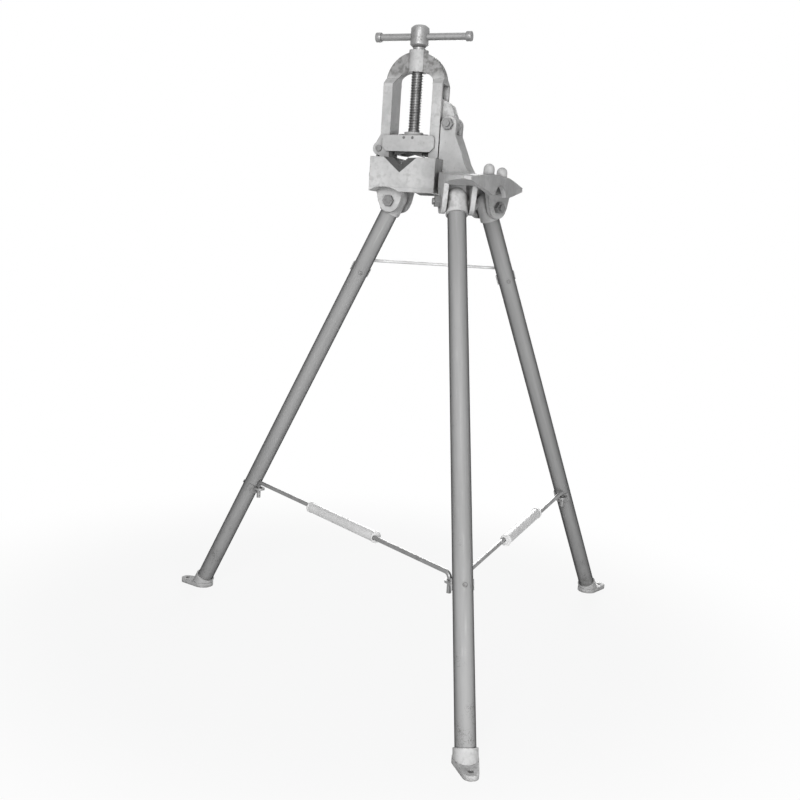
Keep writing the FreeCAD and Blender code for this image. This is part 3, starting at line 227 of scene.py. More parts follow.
class Graph(Tree):
    """The node tree of one material, ending in a Principled shader."""

    def __init__(self, name: str) -> None:
        """Start a material with a bare Principled shader.

        Args:
            name: The material's name.
        """
        self.material = bpy.data.materials.new(name)
        self.material.use_nodes = True
        super().__init__(self.material.node_tree)
        self.shader = self.tree.nodes["Principled BSDF"]
        place = self.node("ShaderNodeTexCoord", {}, {})
        self.place = place.outputs["Object"]

    def turned(
        self,
        rotation: Sequence[float],
        scale: Sequence[float],
        shift: Sequence[float] = (0.0, 0.0, 0.0),
    ) -> bpy.types.NodeSocket:
        """Object coordinates turned, shifted and scaled.

        Args:
            rotation: Euler angles in radians.
            scale: Scale along each turned axis.
            shift: Added along each turned axis before the scale.

        Returns:
            The vector socket.
        """
        spun = self.node(
            "ShaderNodeMapping",
            {},
            {"Vector": self.place, "Rotation": rotation, "Location": shift},
        )
        sized = self.node(
            "ShaderNodeMapping",
            {},
            {"Vector": spun.outputs["Vector"], "Scale": scale},
        )
        return sized.outputs["Vector"]

    def noise(
        self,
        per_metre: float,
        detail: float = 2.0,
        rough: float = 0.5,
        vector: Optional[bpy.types.NodeSocket] = None,
    ) -> Field:
        """Noise of a given fineness.

        Args:
            per_metre: How many waves fit in a metre.
            detail: Octaves.
            rough: Weight of the finer octaves.
            vector: Coordinates, or none for the object's own.

        Returns:
            Noise between 0 and 1.
        """
        made = self.node(
            "ShaderNodeTexNoise",
            {},
            {
                "Vector": vector or self.place,
                "Scale": per_metre,
                "Detail": detail,
                "Roughness": rough,
            },
        )
        return Field(self, made.outputs["Fac"])

    def edges(self, radius_mm: float) -> Field:
        """How near a surface point is to a sharp edge.

        Args:
            radius_mm: How far from the edge the mask reaches.

        Returns:
            0 on a flat, rising towards an edge.
        """
        rounded = self.node(
            "ShaderNodeBevel", {"samples": EDGE_SAMPLES}, {"Radius": radius_mm * MM}
        )
        plain = self.node("ShaderNodeNewGeometry", {}, {})
        dot = self.node(
            "ShaderNodeVectorMath",
            {"operation": "DOT_PRODUCT"},
            {0: rounded.outputs["Normal"], 1: plain.outputs["Normal"]},
        )
        return 1.0 - Field(self, dot.outputs["Value"])

    def corners(self, reach_mm: float) -> Field:
        """How deep in a corner or under a ledge a point lies.

        Args:
            reach_mm: How far away a neighbouring face still counts.

        Returns:
            0 in the open, 1 in a deep corner.
        """
        open_sky = self.node(
            "ShaderNodeAmbientOcclusion",
            {"samples": CORNER_SAMPLES, "only_local": False},
            {"Distance": reach_mm * MM},
        )
        return 1.0 - Field(self, open_sky.outputs["AO"])

    def along(self, axis: str, vector: Optional[bpy.types.NodeSocket] = None) -> Field:
        """One coordinate.

        Args:
            axis: X, Y or Z.
            vector: Coordinates, or none for the object's own.

        Returns:
            The coordinate, in metres for the object's own.
        """
        split = self.node("ShaderNodeSeparateXYZ", {}, {"Vector": vector or self.place})
        return Field(self, split.outputs[axis])

    def facing_up(self) -> Field:
        """How far a face looks upwards: 1 on a level top, 0 on a side, -1 below."""
        plain = self.node("ShaderNodeNewGeometry", {}, {})
        return self.along("Z", plain.outputs["Normal"])

    def mix(self, mask: Number, under: Any, over: Any) -> bpy.types.NodeSocket:
        """Lay one colour over another.

        Args:
            mask: 0 shows the lower colour, 1 the upper.
            under: The lower colour, or its socket.
            over: The upper colour, or its socket.

        Returns:
            The mixed colour's socket.
        """
        made = self.node(
            "ShaderNodeMix",
            {"data_type": "RGBA"},
            {"Factor": mask, 6: under, 7: over},
        )
        return made.outputs[2]

    def bump(self, relief: Field, height_mm: float) -> None:
        """Give the surface a relief.

        Args:
            relief: A field between 0 and 1.
            height_mm: The relief's depth.
        """
        made = self.node(
            "ShaderNodeBump",
            {},
            {"Height": relief, "Distance": height_mm * MM, "Strength": 1.0},
        )
        self.tree.links.new(made.outputs["Normal"], self.shader.inputs["Normal"])

    def finish(self, **sockets: Any) -> bpy.types.Material:
        """Set the shader's sockets.

        Args:
            **sockets: Socket names with _ for spaces, and their values, fields or links.

        Returns:
            The finished material.
        """
        for name, value in sockets.items():
            self.feed(self.shader.inputs[name.replace("_", " ")], value)
        return self.material


def grey(level: float, warmth: float = 0.0) -> Colour:
    """A grey, slightly warm or cool.

    Args:
        level: How light it is, from 0 to 1.
        warmth: Added to red and taken from blue.

    Returns:
        The colour.
    """
    return (level + warmth, level, level - warmth)


# Finishes -------------------------------------------------------------------------------------


@dataclass(frozen=True)
class Seam:
    """The thin raised line that a mould's joint leaves on a casting."""

    axis: str
    offset: float
    half_width: float = 0.5 * MM

    def relief(self, g: Graph) -> Field:
        """How high the line stands.

        Args:
            g: The material that the line is laid in.

        Returns:
            A field between 0 and 1.
        """
        away = abs(g.along(self.axis) - self.offset)
        return 1.0 - away.step(self.half_width * 0.4, self.half_width * 1.6)


@dataclass(frozen=True)
class Recess:
    """A hollowed flank above a height, near the middle plane, that is darkened with painted
    shade.
    """

    above: float
    half_depth: float
    fade: float = 18.0 * MM
    lip: float = 1.5 * MM

    def painted_shade(self, g: Graph, mottle: Field) -> Field:
        """How strong the painted shade in the recess is.

        Args:
            g: The material that the painted shade is laid in.
            mottle: A noise that thins the painted shade here and there.

        Returns:
            A field between 0 and 1.
        """
        # Painted shade: the recessed flanks above the given height are darkened, thinned by the
        # mottle.
        high = g.along("Z").step(self.above, self.above + self.fade)
        sunk = 1.0 - abs(g.along("Y")).step(self.half_depth, self.half_depth + self.lip)
        return high * sunk * (0.5 + mottle.step(0.36, 0.66) * 0.4)


class Casting(Enum):
    """The groups of castings that share one enamel."""

    HEAD = "head"
    YOKE = "yoke"
    FOOT = "foot"


@dataclass(frozen=True)
class CastEnamel:
    """Light grey enamel over a sand casting, chipped at the edges, with painted shade in its
    corners.
    """

    part: Casting
    seam: Optional[Seam] = None
    recess: Optional[Recess] = None
    paint: Colour = grey(0.43)
    faded: Colour = grey(0.54)
    iron: Colour = grey(0.13, 0.004)
    # Near-black grey of the painted shade in corners and in the crown's recess.
    painted_shade: Colour = grey(0.07, 0.003)

    def build(self) -> bpy.types.Material:
        """Build the material.

        Returns:
            The material.
        """
        g = Graph(f"cast_enamel__{self.part.value}")
        cloud = g.noise(14.0, 4.0, 0.6)
        mottle = g.noise(120.0, 3.0, 0.6)
        sand = g.noise(1100.0, 3.0, 0.65)
        edge = g.edges(1.6)
        chips = (edge * 3.0 + mottle - 0.52).step(0.36, 0.52)
        scuffs = (g.noise(420.0, 2.0, 0.7) + g.noise(37.0, 2.0) * 0.35).step(0.86, 0.92)
        wear = (chips + scuffs * 0.6).clamped()
        # Ambient occlusion within 14 mm, as painted shade in corners and under ledges; it also
        # roughens the enamel there.
        corner_shade = (g.corners(14.0) * (0.45 + mottle * 1.2)).step(0.18, 0.90)
        oil = (cloud * 0.6 + mottle * 0.4 + g.facing_up() * 0.08).step(0.54, 0.66)
        paint = g.mix(cloud.step(0.35, 0.65), self.paint, self.faded)
        paint = g.mix(mottle.step(0.42, 0.72) * 0.35, paint, grey(0.33))
        paint = g.mix(oil * 0.35, paint, grey(0.26, 0.005))
        # Painted shade: corners are darkened towards a near-black grey.
        paint = g.mix(corner_shade * 0.85, paint, self.painted_shade)
        if self.recess:
            # Painted shade over the crown's recessed flanks.
            paint = g.mix(self.recess.painted_shade(g, mottle) * 0.85, paint, self.painted_shade)
        colour = g.mix(wear, paint, self.iron)
        relief = sand * 0.55 + mottle * 0.8 + cloud * 0.8 - wear * 0.35
        if self.seam:
            relief = relief + self.seam.relief(g) * 0.9
        g.bump(relief, 0.45)
        return g.finish(
            Base_Color=colour,
            Roughness=0.50 + mottle * 0.12 + corner_shade * 0.25 - wear * 0.05 - oil * 0.18,
            Metallic=wear * 0.7,
            Specular_IOR_Level=0.12,
        )


@dataclass(frozen=True)
class TubeSteel:
    """Welded steel pipe under smoky varnish, which looks darker where it is seen at a slant."""

    name: str
    azimuth: float
    splay: float
    middle: Point
    plain: Colour = grey(0.52)
    pale: Colour = grey(0.60)
    varnish: float = 0.58
    stain: Colour = grey(0.13, 0.005)
    weld_reach: tuple[float, float] = (0.5 * MM, 1.6 * MM)
    inner_side: tuple[float, float] = (-8.0 * MM, -4.0 * MM)
    splash_heights: tuple[float, float] = (0.02, 0.22)

    def build(self) -> bpy.types.Material:
        """Build the material.

        Returns:
            The material.
        """
        g = Graph(f"tube_steel__{self.name}")
        tilt = Matrix.Rotation(math.radians(self.splay), 3, "Y")
        turn = tilt @ Matrix.Rotation(-math.radians(self.azimuth), 3, "Z")
        rotation = tuple(turn.to_euler("XYZ"))
        shift = tuple(-(turn @ Vector(self.middle)))
        streak = g.noise(1.0, 3.0, 0.6, g.turned(rotation, (420.0, 420.0, 9.0)))
        shade = g.noise(1.0, 3.0, 0.55, g.turned(rotation, (70.0, 70.0, 5.0)))
        speck = g.noise(620.0, 2.0, 0.7)
        patch = g.noise(26.0, 4.0, 0.7)
        # The weld runs down the side that faces the stand's middle.
        own = g.turned(rotation, (1.0, 1.0, 1.0), shift)
        inner = 1.0 - g.along("X", own).step(*self.inner_side)
        weld = (1.0 - abs(g.along("Y", own)).step(*self.weld_reach)) * inner
        scratch = (streak + patch * 0.4).step(0.80, 0.92)
        low = 1.0 - g.along("Z").step(*self.splash_heights)
        stain = ((speck + patch) * 0.5 + low * 0.10).step(0.60, 0.74)
        colour = g.mix(shade.step(0.3, 0.7), self.plain, self.pale)
        colour = g.mix(weld * 0.5, colour, grey(0.25))
        colour = g.mix(scratch * 0.5, colour, grey(0.66))
        colour = g.mix(stain * 0.65, colour, self.stain)
        g.bump(streak * 0.5 + speck * 0.4 - stain * 0.4 + weld * 1.2, 0.16)
        return g.finish(
            Base_Color=colour,
            Roughness=0.44 + shade * 0.14 + stain * 0.2 - scratch * 0.08,
            Metallic=scratch * 0.35,
            Specular_IOR_Level=0.06,
            Coat_Weight=1.0,
            Coat_IOR=1.02,
            Coat_Roughness=0.3,
            Coat_Tint=grey(self.varnish),
        )


@dataclass(frozen=True)
class SteelTones:
    """What sets one steel apart: its slot, greys, roughness, metallic share and relief."""

    slot: str
    light: float
    dark: float
    rough: float
    metal: float = 0.7
    waves_per_metre: float = 0.0


class Steel(Enum):
    """The bare and plated steels."""

    OILED = SteelTones("screw_steel", light=0.13, dark=0.05, rough=0.40, metal=0.8)
    HANDLED = SteelTones("handle_steel", light=0.29, dark=0.14, rough=0.42)
    HARDENED = SteelTones("jaw_steel", 0.07, 0.03, 0.42, metal=0.8, waves_per_metre=280.0)
    ZINC = SteelTones("fastener_zinc", light=0.22, dark=0.10, rough=0.46)
    PRESSED = SteelTones("saddle_steel", light=0.30, dark=0.13, rough=0.46, metal=0.65)
    DRAWN = SteelTones("stay_rod_steel", light=0.27, dark=0.12, rough=0.36)
    BRIGHT = SteelTones("sleeve_zinc", light=0.70, dark=0.60, rough=0.40, metal=0.2)


@dataclass(frozen=True)
class SteelFinish:
    """A bare or plated steel with handling marks, stains, worn edges and painted shade in its
    corners.
    """

    steel: Steel

    def build(self) -> bpy.types.Material:
        """Build the material.

        Returns:
            The material.
        """
        tones = self.steel.value
        light, dark = tones.light, tones.dark
        g = Graph(f"{tones.slot}__finish")
        cloud = g.noise(45.0, 4.0, 0.65)
        grain = g.noise(900.0, 3.0, 0.7)
        spots = g.noise(260.0, 3.0, 0.75)
        edge = g.edges(0.8).step(0.03, 0.22)
        stain = (spots * 0.7 + cloud * 0.45).step(0.60, 0.74)
        # Ambient occlusion within 5 mm, as painted shade in corners; it also lowers the
        # metallic share there.
        corner_shade = g.corners(5.0).step(0.25, 1.0)
        colour = g.mix(cloud.step(0.3, 0.7), grey(light), grey(light * 0.86))
        colour = g.mix(stain * 0.55, colour, grey(dark, 0.004))
        colour = g.mix(edge * 0.5, colour, grey(min(light * 1.7, 0.8)))
        # Painted shade: corners are darkened.
        colour = g.mix(corner_shade * 0.7, colour, grey(dark * 0.6, 0.003))
        relief = grain * 0.5 + spots * 0.5 - stain * 0.3
        if tones.waves_per_metre:
            ridges = g.along("Y").wave(tones.waves_per_metre).step(-1.0, 0.2)
            relief = relief + ridges * 5.0
        g.bump(relief, 0.09)
        return g.finish(
            Base_Color=colour,
            Roughness=tones.rough + cloud * 0.12 + stain * 0.18 - edge * 0.06,
            Metallic=tones.metal - corner_shade * 0.4,
        )


# Mesh helpers ---------------------------------------------------------------------------------

WELD_GAP = 0.002 * MM  # corners of a CAD mesh that are nearer than this are one
FLAT_ANGLE = 0.6  # degrees between faces that are made one
THREAD_GROOVE = 0.42  # a thread's groove, as a share of its pitch
THREAD_FLANK = 0.08  # each sloping side of a thread, as a share of its pitch
BOLT_ROOT = 0.86  # a bolt's root radius, as a share of its radius
BOLT_PITCHES = 4  # pitches that fit on a bolt's bare tail


@dataclass(frozen=True)
class Rounding:
    """How the edges of a piece are rounded."""

    width_mm: float
    segments: int = 2
    angle: float = 35.0


def body_of_node(node: str) -> str:
    """The body that a node belongs to.

    Args:
        node: A CAD node's name.

    Returns:
        The body's name.
    """
    bodies = frame["record"]["behaviour"]["bodies"]
    return next(body for body, nodes in bodies.items() if node in nodes)


def merged_copy(node: str) -> bmesh.types.BMesh:
    """A CAD node's mesh with its corners joined and its flat faces made whole.

    Args:
        node: A CAD node's name.

    Returns:
        A new bmesh.
    """
    made = bmesh.new()
    made.from_mesh(frame["nodes"][node].data)
    bmesh.ops.remove_doubles(made, verts=made.verts, dist=WELD_GAP)
    bmesh.ops.dissolve_limit(
        made,
        angle_limit=math.radians(FLAT_ANGLE),
        verts=made.verts,
        edges=made.edges,
        use_dissolve_boundaries=False,
        delimit={"NORMAL"},
    )
    return made


def close_openings(shape: bmesh.types.BMesh) -> None:
    """Put a face over each opening, so that the mesh is closed.

    Args:
        shape: The mesh that is closed.
    """
    rims = [edge for edge in shape.edges if edge.is_boundary]
    bmesh.ops.holes_fill(shape, edges=rims, sides=0)


def order_faces(shape: bmesh.types.BMesh) -> None:
    """Order the faces by their corners, because a spin makes them in a new order each run.

    Args:
        shape: The mesh whose faces are ordered.
    """
    shape.verts.index_update()
    listed = sorted(shape.faces, key=lambda face: sorted(vert.index for vert in face.verts))
    places = {face: place for place, face in enumerate(listed)}
    shape.faces.sort(key=places.get)


def into_object(
    name: str,
    shape: bmesh.types.BMesh,
    finish: bpy.types.Material,
    body: str,
    rounding: Optional[Rounding] = None,
    smooth_angle: float = 32.0,
) -> bpy.types.Object:
    """Make an object from a bmesh, finish it and let it ride a body.

    Args:
        name: The object's name.
        shape: The mesh, which is freed.
        finish: Its material.
        body: The CAD body that it moves with.
        rounding: How its edges are rounded, or none.
        smooth_angle: Edges under this angle are shaded smooth.

    Returns:
        The object.
    """
    mesh = bpy.data.meshes.new(name)
    shape.to_mesh(mesh)
    shape.free()
    mesh.materials.append(finish)
    item = bpy.data.objects.new(name, mesh)
    bpy.context.scene.collection.objects.link(item)
    mesh.shade_smooth()
    mesh.set_sharp_from_angle(angle=math.radians(smooth_angle))
    if rounding:
        bevel = item.modifiers.new("rounded_edges", "BEVEL")
        bevel.width = rounding.width_mm * MM
        bevel.segments = rounding.segments
        bevel.limit_method = "ANGLE"
        bevel.angle_limit = math.radians(rounding.angle)
        bevel.harden_normals = True
        bevel.miter_outer = "MITER_ARC"
    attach(item, body)
    log.info("piece %s on %s: %d faces", name, body, len(mesh.polygons))
    return item


def rounded_node(node: str, finish: bpy.types.Material, rounding: Rounding) -> bpy.types.Object:
    """Show a CAD node as a copy with rounded edges.

    Args:
        node: The node's name.
        finish: Its material.
        rounding: How its edges are rounded.

    Returns:
        The copy, which replaces the node.
    """
    shape = merged_copy(node)
    item = into_object(f"{node}_rounded", shape, finish, body_of_node(node), rounding)
    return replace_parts(item, node)


def plain_node(node: str, finish: bpy.types.Material) -> None:
    """Give a CAD node its material and leave its shape.

    Args:
        node: The node's name.
        finish: Its material.
    """
    item = frame["nodes"][node]
    item.data.materials.clear()
    item.data.materials.append(finish)
    log.info("node %s: %s", node, finish.name)


def helix_thread(
    minor: float, major: float, pitch: float, low: float, high: float, steps: int = 28
) -> bmesh.types.BMesh:
    """A thread about the z axis, closed by a flat end at each side.

    Args:
        minor: Root radius.
        major: Crest radius.
        pitch: Rise of one turn, roughly: a whole number of turns is fitted.
        low: Height of its lower end.
        high: Height of its upper end.
        steps: Faces round one turn.

    Returns:
        The thread's surface.
    """
    turns = max(round((high - low) / pitch) - 1, 1)
    pitch = (high - low) / (turns + 1)
    made = bmesh.new()
    groove = pitch * THREAD_GROOVE
    flank = pitch * THREAD_FLANK
    outline = [
        (minor, 0.0),
        (minor, groove),
        (major, groove + flank),
        (major, pitch - flank),
        (minor, pitch),
    ]
    corners = [made.verts.new((radius, 0.0, low + rise)) for radius, rise in outline]
    ridge = [made.edges.new(pair) for pair in zip(corners, corners[1:])]
    bmesh.ops.spin(
        made,
        geom=corners + ridge,
        cent=(0.0, 0.0, 0.0),
        axis=(0.0, 0.0, 1.0),
        dvec=(0.0, 0.0, pitch / steps),
        angle=math.tau * turns,
        steps=steps * turns,
        use_merge=False,
        use_duplicate=False,
    )
    bmesh.ops.remove_doubles(made, verts=made.verts, dist=minor * 0.001)
    close_openings(made)
    bmesh.ops.recalc_face_normals(made, faces=made.faces)
    order_faces(made)
    for bottom, top in ((low, low + pitch), (high - pitch, high)):
        bmesh.ops.create_cone(
            made,
            cap_ends=True,
            segments=steps,
            radius1=major,
            radius2=major,
            depth=top - bottom,
            matrix=Matrix.Translation((0.0, 0.0, (bottom + top) / 2)),
        )
    return made


def threaded_bolt(
    node: str, nut: str, heading: float, finish: bpy.types.Material, rounding: Rounding
) -> None:
    """Show a level bolt with a thread on the tail that its nut leaves bare.

    Args:
        node: The bolt's node.
        nut: The nut's node.
        heading: Azimuth of the bolt's head from its tail, in degrees.
        finish: Their material.
        rounding: How the bolt's edges are rounded.
    """
    out = Vector((-math.cos(math.radians(heading)), -math.sin(math.radians(heading)), 0.0))
    nut_ends = [vert.co.dot(out) for vert in frame["nodes"][nut].data.vertices]
    shape = merged_copy(node)
    tip = max(vert.co.dot(out) for vert in shape.verts)
    end = [vert.co for vert in shape.verts if tip - vert.co.dot(out) < SAME_PLACE]
    centre = sum(end, Vector()) / len(end)
    radius = max((spot - centre).length for spot in end)
    bare = tip - max(nut_ends)
    bmesh.ops.bisect_plane(
        shape,
        geom=list(shape.verts) + list(shape.edges) + list(shape.faces),
        plane_co=centre - out * bare,
        plane_no=out,
        clear_outer=True,
    )
    close_openings(shape)
    into_object(f"{node}_shank", shape, finish, body_of_node(node), rounding)
    thread = helix_thread(radius * BOLT_ROOT, radius, bare / BOLT_PITCHES, -bare, 0.0)
    turn = out.to_track_quat("Z", "Y").to_matrix().to_4x4()
    bmesh.ops.transform(thread, matrix=Matrix.Translation(centre) @ turn, verts=thread.verts)
    item = into_object(f"{node}_thread", thread, finish, body_of_node(node))
    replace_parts(item, node)


# Sub-assemblies -------------------------------------------------------------------------------

MOULD_JOINT = 0.25  # height of the head's mould line, as a share of the head's height
CROWN_HEIGHT = 56.0 * MM  # from the foot of the crown's recess to the yoke's top
CROWN_WEB = 0.5  # the recessed web's thickness, as a share of the yoke's


@dataclass
class Palette:
    """The finishes that the sub-assemblies share."""

    casts: dict[Casting, bpy.types.Material]
    steels: dict[Steel, bpy.types.Material]
    tubes: dict[str, bpy.types.Material]


def leg_splay() -> float:
    """The legs' tilt from upright, in degrees, from the left tube's box."""
    low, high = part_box("left_leg_tube")
    return math.degrees(math.atan2(high.x - low.x, high.z - low.z))


def make_palette() -> Palette:
    """Build every finish once.

    Returns:
        The finishes.
    """
    head_low, head_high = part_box("head_casting")
    yoke_low, yoke_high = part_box("yoke")
    mould_joint = head_low.z * (1.0 - MOULD_JOINT) + head_high.z * MOULD_JOINT
    crown = Recess(yoke_high.z - CROWN_HEIGHT, (yoke_high.y - yoke_low.y) * CROWN_WEB / 2)
    casts = [
        CastEnamel(Casting.HEAD, Seam("Z", mould_joint)),
        CastEnamel(Casting.YOKE, Seam("Y", 0.0), crown),
        CastEnamel(Casting.FOOT),
    ]
    splay = leg_splay()
    tubes = {}
    for leg, azimuth in LEG_AZIMUTHS.items():
        low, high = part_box(f"{leg}_leg_tube")
        tubes[leg] = TubeSteel(leg, azimuth, splay, tuple((low + high) / 2)).build()
    return Palette(
        casts={cast.part: cast.build() for cast in casts},
        steels={steel: SteelFinish(steel).build() for steel in Steel},
        tubes=tubes,
    )


@dataclass
class Head:
    """The head casting with its lower jaw, hinge pin and leg pivots."""

    palette: Palette
    casting_edge: Rounding = Rounding(1.8, 3)
    hex_edge: Rounding = Rounding(0.6, 2, 25.0)
    hinge_heading: float = 90.0
    bolt_from_leg: float = 90.0

    def build(self) -> None:
        """Build the head's pieces."""
        rounded_node("head_casting", self.palette.casts[Casting.HEAD], self.casting_edge)
        plain_node("lower_jaw", self.palette.steels[Steel.HARDENED])
        plain_node("lower_jaw_screws", self.palette.steels[Steel.ZINC])
        self.build_bolt("yoke_hinge_pin", "yoke_hinge_nut", self.hinge_heading)
        for leg, azimuth in LEG_AZIMUTHS.items():
            heading = azimuth + self.bolt_from_leg
            self.build_bolt(f"{leg}_pivot_bolt", f"{leg}_pivot_nut", heading)

    def build_bolt(self, bolt: str, nut: str, heading: float) -> None:
        """Build a bolt and its nut.

        Args:
            bolt: The bolt's node.
            nut: The nut's node.
            heading: Azimuth of the bolt's head from its tail, in degrees.
        """
        zinc = self.palette.steels[Steel.ZINC]
        threaded_bolt(bolt, nut, heading, zinc, self.hex_edge)
        rounded_node(nut, zinc, self.hex_edge)


@dataclass
class Yoke:
    """The hinged yoke with its latch."""

    palette: Palette
    casting_edge: Rounding = Rounding(1.4, 3)
    latch_edge: Rounding = Rounding(1.0, 3)
    pin_edge: Rounding = Rounding(0.5, 2)

    def build(self) -> None:
        """Build the yoke's pieces."""
        rounded_node("yoke", self.palette.casts[Casting.YOKE], self.casting_edge)
        rounded_node("latch_hook", self.palette.casts[Casting.YOKE], self.latch_edge)
        rounded_node("latch_pin", self.palette.steels[Steel.ZINC], self.pin_edge)


@dataclass
class JawSlide:
    """The crosshead with the upper jaw."""

    palette: Palette
    casting_edge: Rounding = Rounding(1.0, 3)
    screw_edge: Rounding = Rounding(0.4, 2, 25.0)

    def build(self) -> None:
        """Build the slide's pieces."""
        rounded_node("crosshead", self.palette.casts[Casting.YOKE], self.casting_edge)
        plain_node("upper_jaw", self.palette.steels[Steel.HARDENED])
        rounded_node("upper_jaw_screws", self.palette.steels[Steel.ZINC], self.screw_edge)
        plain_node("retaining_pins", self.palette.steels[Steel.OILED])


@dataclass
class JawScrew:
    """The jaw screw with its square thread, and the sliding handle."""

    palette: Palette
    thread_pitch: float = 5.0 * MM
    thread_depth: float = 2.0 * MM
    thread_radius: float = 11.0 * MM
    shortest_shank: float = 50.0 * MM
    screw_edge: Rounding = Rounding(0.7, 2)
    handle_edge: Rounding = Rounding(0.6, 2)

    def build(self) -> None:
        """Build the screw's and the handle's pieces."""
        self.build_screw()
        handled = self.palette.steels[Steel.HANDLED]
        rounded_node("handle_bar", handled, self.handle_edge)
        rounded_node("handle_ends", handled, self.handle_edge)

    def build_screw(self) -> None:
        """Swap the screw's plain shank for a threaded one."""
        low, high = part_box("screw")
        axis = Vector(((low.x + high.x) / 2, 0.0, 0.0))
        shape = merged_copy("screw")
        shank = self.find_shank(shape, axis)
        levels = [vert.co.z for face in shank for vert in face.verts]
        foot, top = min(levels), max(levels)
        ledge = [
            face
            for face in shape.faces
            if all(abs(vert.co.z - foot) < SAME_PLACE for vert in face.verts)
        ]
        bmesh.ops.delete(shape, geom=shank + ledge, context="FACES")
        self.build_thread(axis, foot, top)
        self.build_ends(shape, (foot + top) / 2)

    def find_shank(self, shape: bmesh.types.BMesh, axis: Vector) -> list[bmesh.types.BMFace]:
        """The long faces that the thread takes the place of.

        Args:
            shape: The whole screw.
            axis: A point on its axis.

        Returns:
            The faces.
        """
        found = []
        for face in shape.faces:
            heights = [vert.co.z for vert in face.verts]
            radii = [(vert.co - axis).xy.length for vert in face.verts]
            is_round = all(abs(radius - self.thread_radius) < SAME_PLACE for radius in radii)
            if is_round and max(heights) - min(heights) > self.shortest_shank:
                found.append(face)
        return found

    def build_thread(self, axis: Vector, foot: float, top: float) -> None:
        """Build the threaded length.

        Args:
            axis: A point on the screw's axis.
            foot: Height of its lower end.
            top: Height of its upper end.
        """
        root = self.thread_radius - self.thread_depth
        thread = helix_thread(root, self.thread_radius, self.thread_pitch, foot, top)
        bmesh.ops.translate(thread, verts=thread.verts, vec=axis)
        oiled = self.palette.steels[Steel.OILED]
        into_object("screw_thread", thread, oiled, body_of_node("screw"))

    def build_ends(self, shape: bmesh.types.BMesh, middle: float) -> None:
        """Build the screw's tip and its head.

        Args:
            shape: Both ends, without the shank between them.
            middle: A height between the two.
        """
        head = shape.copy()
        for part, side in ((head, 1.0), (shape, -1.0)):
            away = [vert for vert in part.verts if (vert.co.z - middle) * side < 0.0]
            bmesh.ops.delete(part, geom=away, context="VERTS")
            close_openings(part)
        body = body_of_node("screw")
        steels = self.palette.steels
        into_object("screw_tip", shape, steels[Steel.OILED], body, self.screw_edge)
        handled = steels[Steel.HANDLED]
        item = into_object("screw_head", head, handled, body, self.screw_edge)
        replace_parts(item, "screw")


@dataclass
class Leg:
    """One leg: socket, tube, shoe and the saddles riveted to it."""

    name: str
    palette: Palette
    socket_edge: Rounding = Rounding(1.0, 3)
    shoe_edge: Rounding = Rounding(1.2, 3)
    saddle_edge: Rounding = Rounding(0.5, 2)
    rivet_edge: Rounding = Rounding(1.4, 4, 25.0)

    def build(self) -> None:
        """Build the leg's pieces."""
        cast = self.palette.casts[Casting.FOOT]
        rounded_node(f"{self.name}_leg_socket", cast, self.socket_edge)
        rounded_node(f"{self.name}_shoe", cast, self.shoe_edge)
        plain_node(f"{self.name}_leg_tube", self.palette.tubes[self.name])
        pressed = self.palette.steels[Steel.PRESSED]
        zinc = self.palette.steels[Steel.ZINC]
        kinds = ("stay",) if self.name == "front" else ("stay", "tie")
        for kind in kinds:
            rounded_node(f"{self.name}_{kind}_saddle", pressed, self.saddle_edge)
            rounded_node(f"{self.name}_{kind}_rivet", zinc, self.rivet_edge)


@dataclass
class Stay:
    """One telescopic stay: two hooked rods in a sleeve."""

    name: str
    palette: Palette
    cap_edge: Rounding = Rounding(0.5, 2)

    def build(self) -> None:
        """Build the stay's pieces."""
        for rod in ("front_rod", "far_rod"):
            plain_node(f"{self.name}_stay_{rod}", self.palette.steels[Steel.DRAWN])
        bright = self.palette.steels[Steel.BRIGHT]
        plain_node(f"{self.name}_stay_sleeve", bright)
        rounded_node(f"{self.name}_stay_caps", bright, self.cap_edge)


@dataclass
class Tie:
    """The thin tie rod with its stop."""

    palette: Palette
    stop_edge: Rounding = Rounding(0.5, 2)

    def build(self) -> None:
        """Build the tie's pieces."""
        bright = self.palette.steels[Steel.BRIGHT]
        plain_node("tie_rod", bright)
        rounded_node("tie_rod_stop", bright, self.stop_edge)


# Studio ---------------------------------------------------------------------------------------


@dataclass(frozen=True)
class Lamp:
    """A square soft lamp, with its side in metres and its power in watts."""

    name: str
    place: Point
    target: Point
    side: float
    power: float

    def build(self) -> None:
        """Hang the lamp."""
        light = bpy.data.lights.new(self.name, "AREA")
        light.energy = self.power
        light.size = self.side
        item = bpy.data.objects.new(self.name, light)
        item.location = self.place
        aim = Vector(self.target) - Vector(self.place)
        item.rotation_euler = aim.to_track_quat("-Z", "Y").to_euler()
        bpy.context.scene.collection.objects.link(item)


LAMPS = (
    Lamp("key_lamp", place=(0.55, -2.7, 1.5), target=(0.1, 0.0, 0.75), side=1.0, power=59.0),
    Lamp("low_lamp", place=(1.7, -2.0, 0.2), target=(0.15, 0.0, 0.85), side=0.7, power=36.0),
    Lamp("top_lamp", place=(0.0, 0.4, 3.6), target=(0.1, 0.0, 0.7), side=1.6, power=12.0),
    Lamp("back_lamp", place=(-0.6, 3.2, 1.2), target=(0.1, 0.0, 0.7), side=1.6, power=80.0),
)


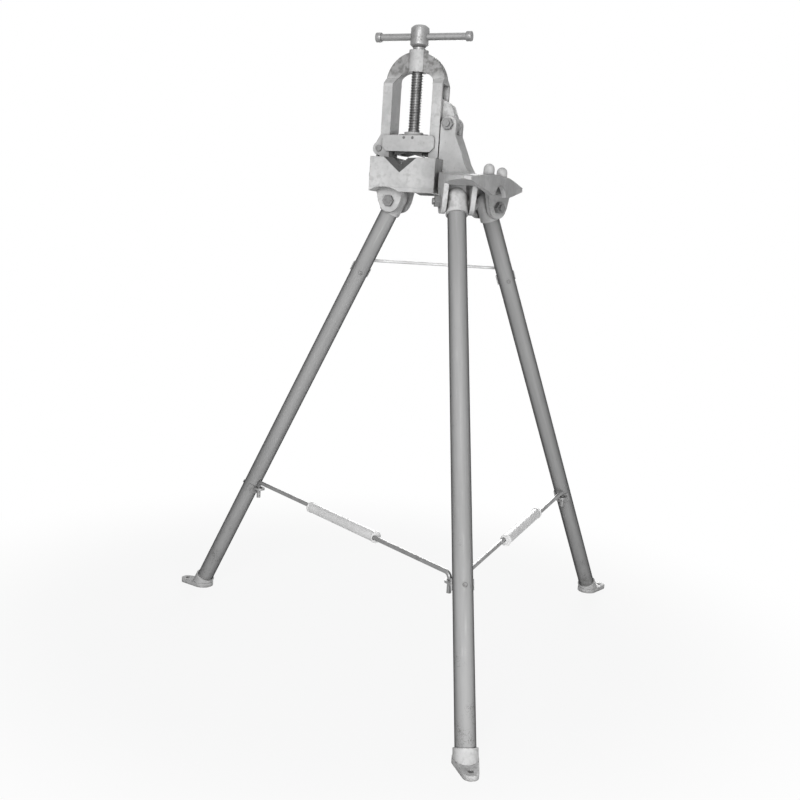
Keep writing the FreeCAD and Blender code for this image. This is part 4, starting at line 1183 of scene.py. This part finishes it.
@dataclass(frozen=True)
class Studio:
    """A pale floor, soft lamps and the camera."""

    camera_place: Point = (0.7958, -1.8062, 0.7860)
    camera_right: Point = (0.9218, 0.3823, 0.0635)
    camera_up: Point = (-0.1199, 0.1257, 0.9848)
    lens: float = 45.05
    sensor: float = 36.0
    room: float = 0.10
    floor_size: float = 60.0
    floor_paint: Colour = grey(0.35)
    floor_roughness: float = 0.9
    floor_white: float = 0.9
    shadow_reach: float = 0.5
    white_from: float = 1.1

    def build(self) -> None:
        """Build the studio."""
        scene = bpy.context.scene
        scene.view_settings.view_transform = "Standard"
        self.build_floor()
        self.build_world(scene)
        for lamp in LAMPS:
            lamp.build()
        self.build_camera(scene)

    def build_floor(self) -> None:
        """Lay a wide floor that looks white and keeps the object's shadow."""
        shape = bmesh.new()
        bmesh.ops.create_grid(shape, x_segments=1, y_segments=1, size=self.floor_size / 2)
        mesh = bpy.data.meshes.new("studio_floor")
        shape.to_mesh(mesh)
        shape.free()
        floor = bpy.data.objects.new("studio_floor", mesh)
        bpy.context.scene.collection.objects.link(floor)
        graph = Graph("studio_floor")
        graph.finish(Base_Color=self.floor_paint, Roughness=self.floor_roughness)
        glow = graph.node("ShaderNodeEmission", {}, {"Color": WHITE})
        reach = graph.node("ShaderNodeVectorMath", {"operation": "LENGTH"}, {0: graph.place})
        distance = Field(graph, reach.outputs["Value"])
        far = distance.step(self.shadow_reach, self.white_from)
        share = self.floor_white + far * (1.0 - self.floor_white)
        blend = graph.node(
            "ShaderNodeMixShader",
            {},
            {
                0: graph.white_rays() * share,
                1: graph.shader.outputs["BSDF"],
                2: glow.outputs["Emission"],
            },
        )
        output = graph.tree.nodes["Material Output"]
        graph.feed(output.inputs["Surface"], blend.outputs["Shader"])
        mesh.materials.append(graph.material)
        log.info("studio floor")

    def build_world(self, scene: bpy.types.Scene) -> None:
        """Light the room softly, and show white behind the object.

        Args:
            scene: The scene that gets the world.
        """
        world = bpy.data.worlds.new("studio")
        world.use_nodes = True
        scene.world = world
        sky = Tree(world.node_tree)
        back = world.node_tree.nodes["Background"]
        sky.feed(back.inputs["Color"], WHITE)
        white = sky.white_rays()
        sky.feed(back.inputs["Strength"], white + self.room * (1.0 - white))

    def build_camera(self, scene: bpy.types.Scene) -> None:
        """Set the camera.

        Args:
            scene: The scene that gets the camera.
        """
        lens = bpy.data.cameras.new("camera")
        lens.lens = self.lens
        lens.sensor_width = self.sensor
        camera = bpy.data.objects.new("camera", lens)
        right, up = Vector(self.camera_right), Vector(self.camera_up)
        turn = Matrix((right, up, right.cross(up))).transposed()
        camera.matrix_world = Matrix.Translation(self.camera_place) @ turn.to_4x4()
        scene.collection.objects.link(camera)
        scene.camera = camera


def main() -> None:
    """Build every sub-assembly and the studio."""
    logging.basicConfig(level=logging.INFO, format="%(message)s")
    palette = make_palette()
    Head(palette).build()
    Yoke(palette).build()
    JawSlide(palette).build()
    JawScrew(palette).build()
    for leg in LEG_AZIMUTHS:
        Leg(leg, palette).build()
    for side in STAY_SIDES:
        Stay(side, palette).build()
    Tie(palette).build()
    Studio().build()


if __name__ == "__main__":
    main()
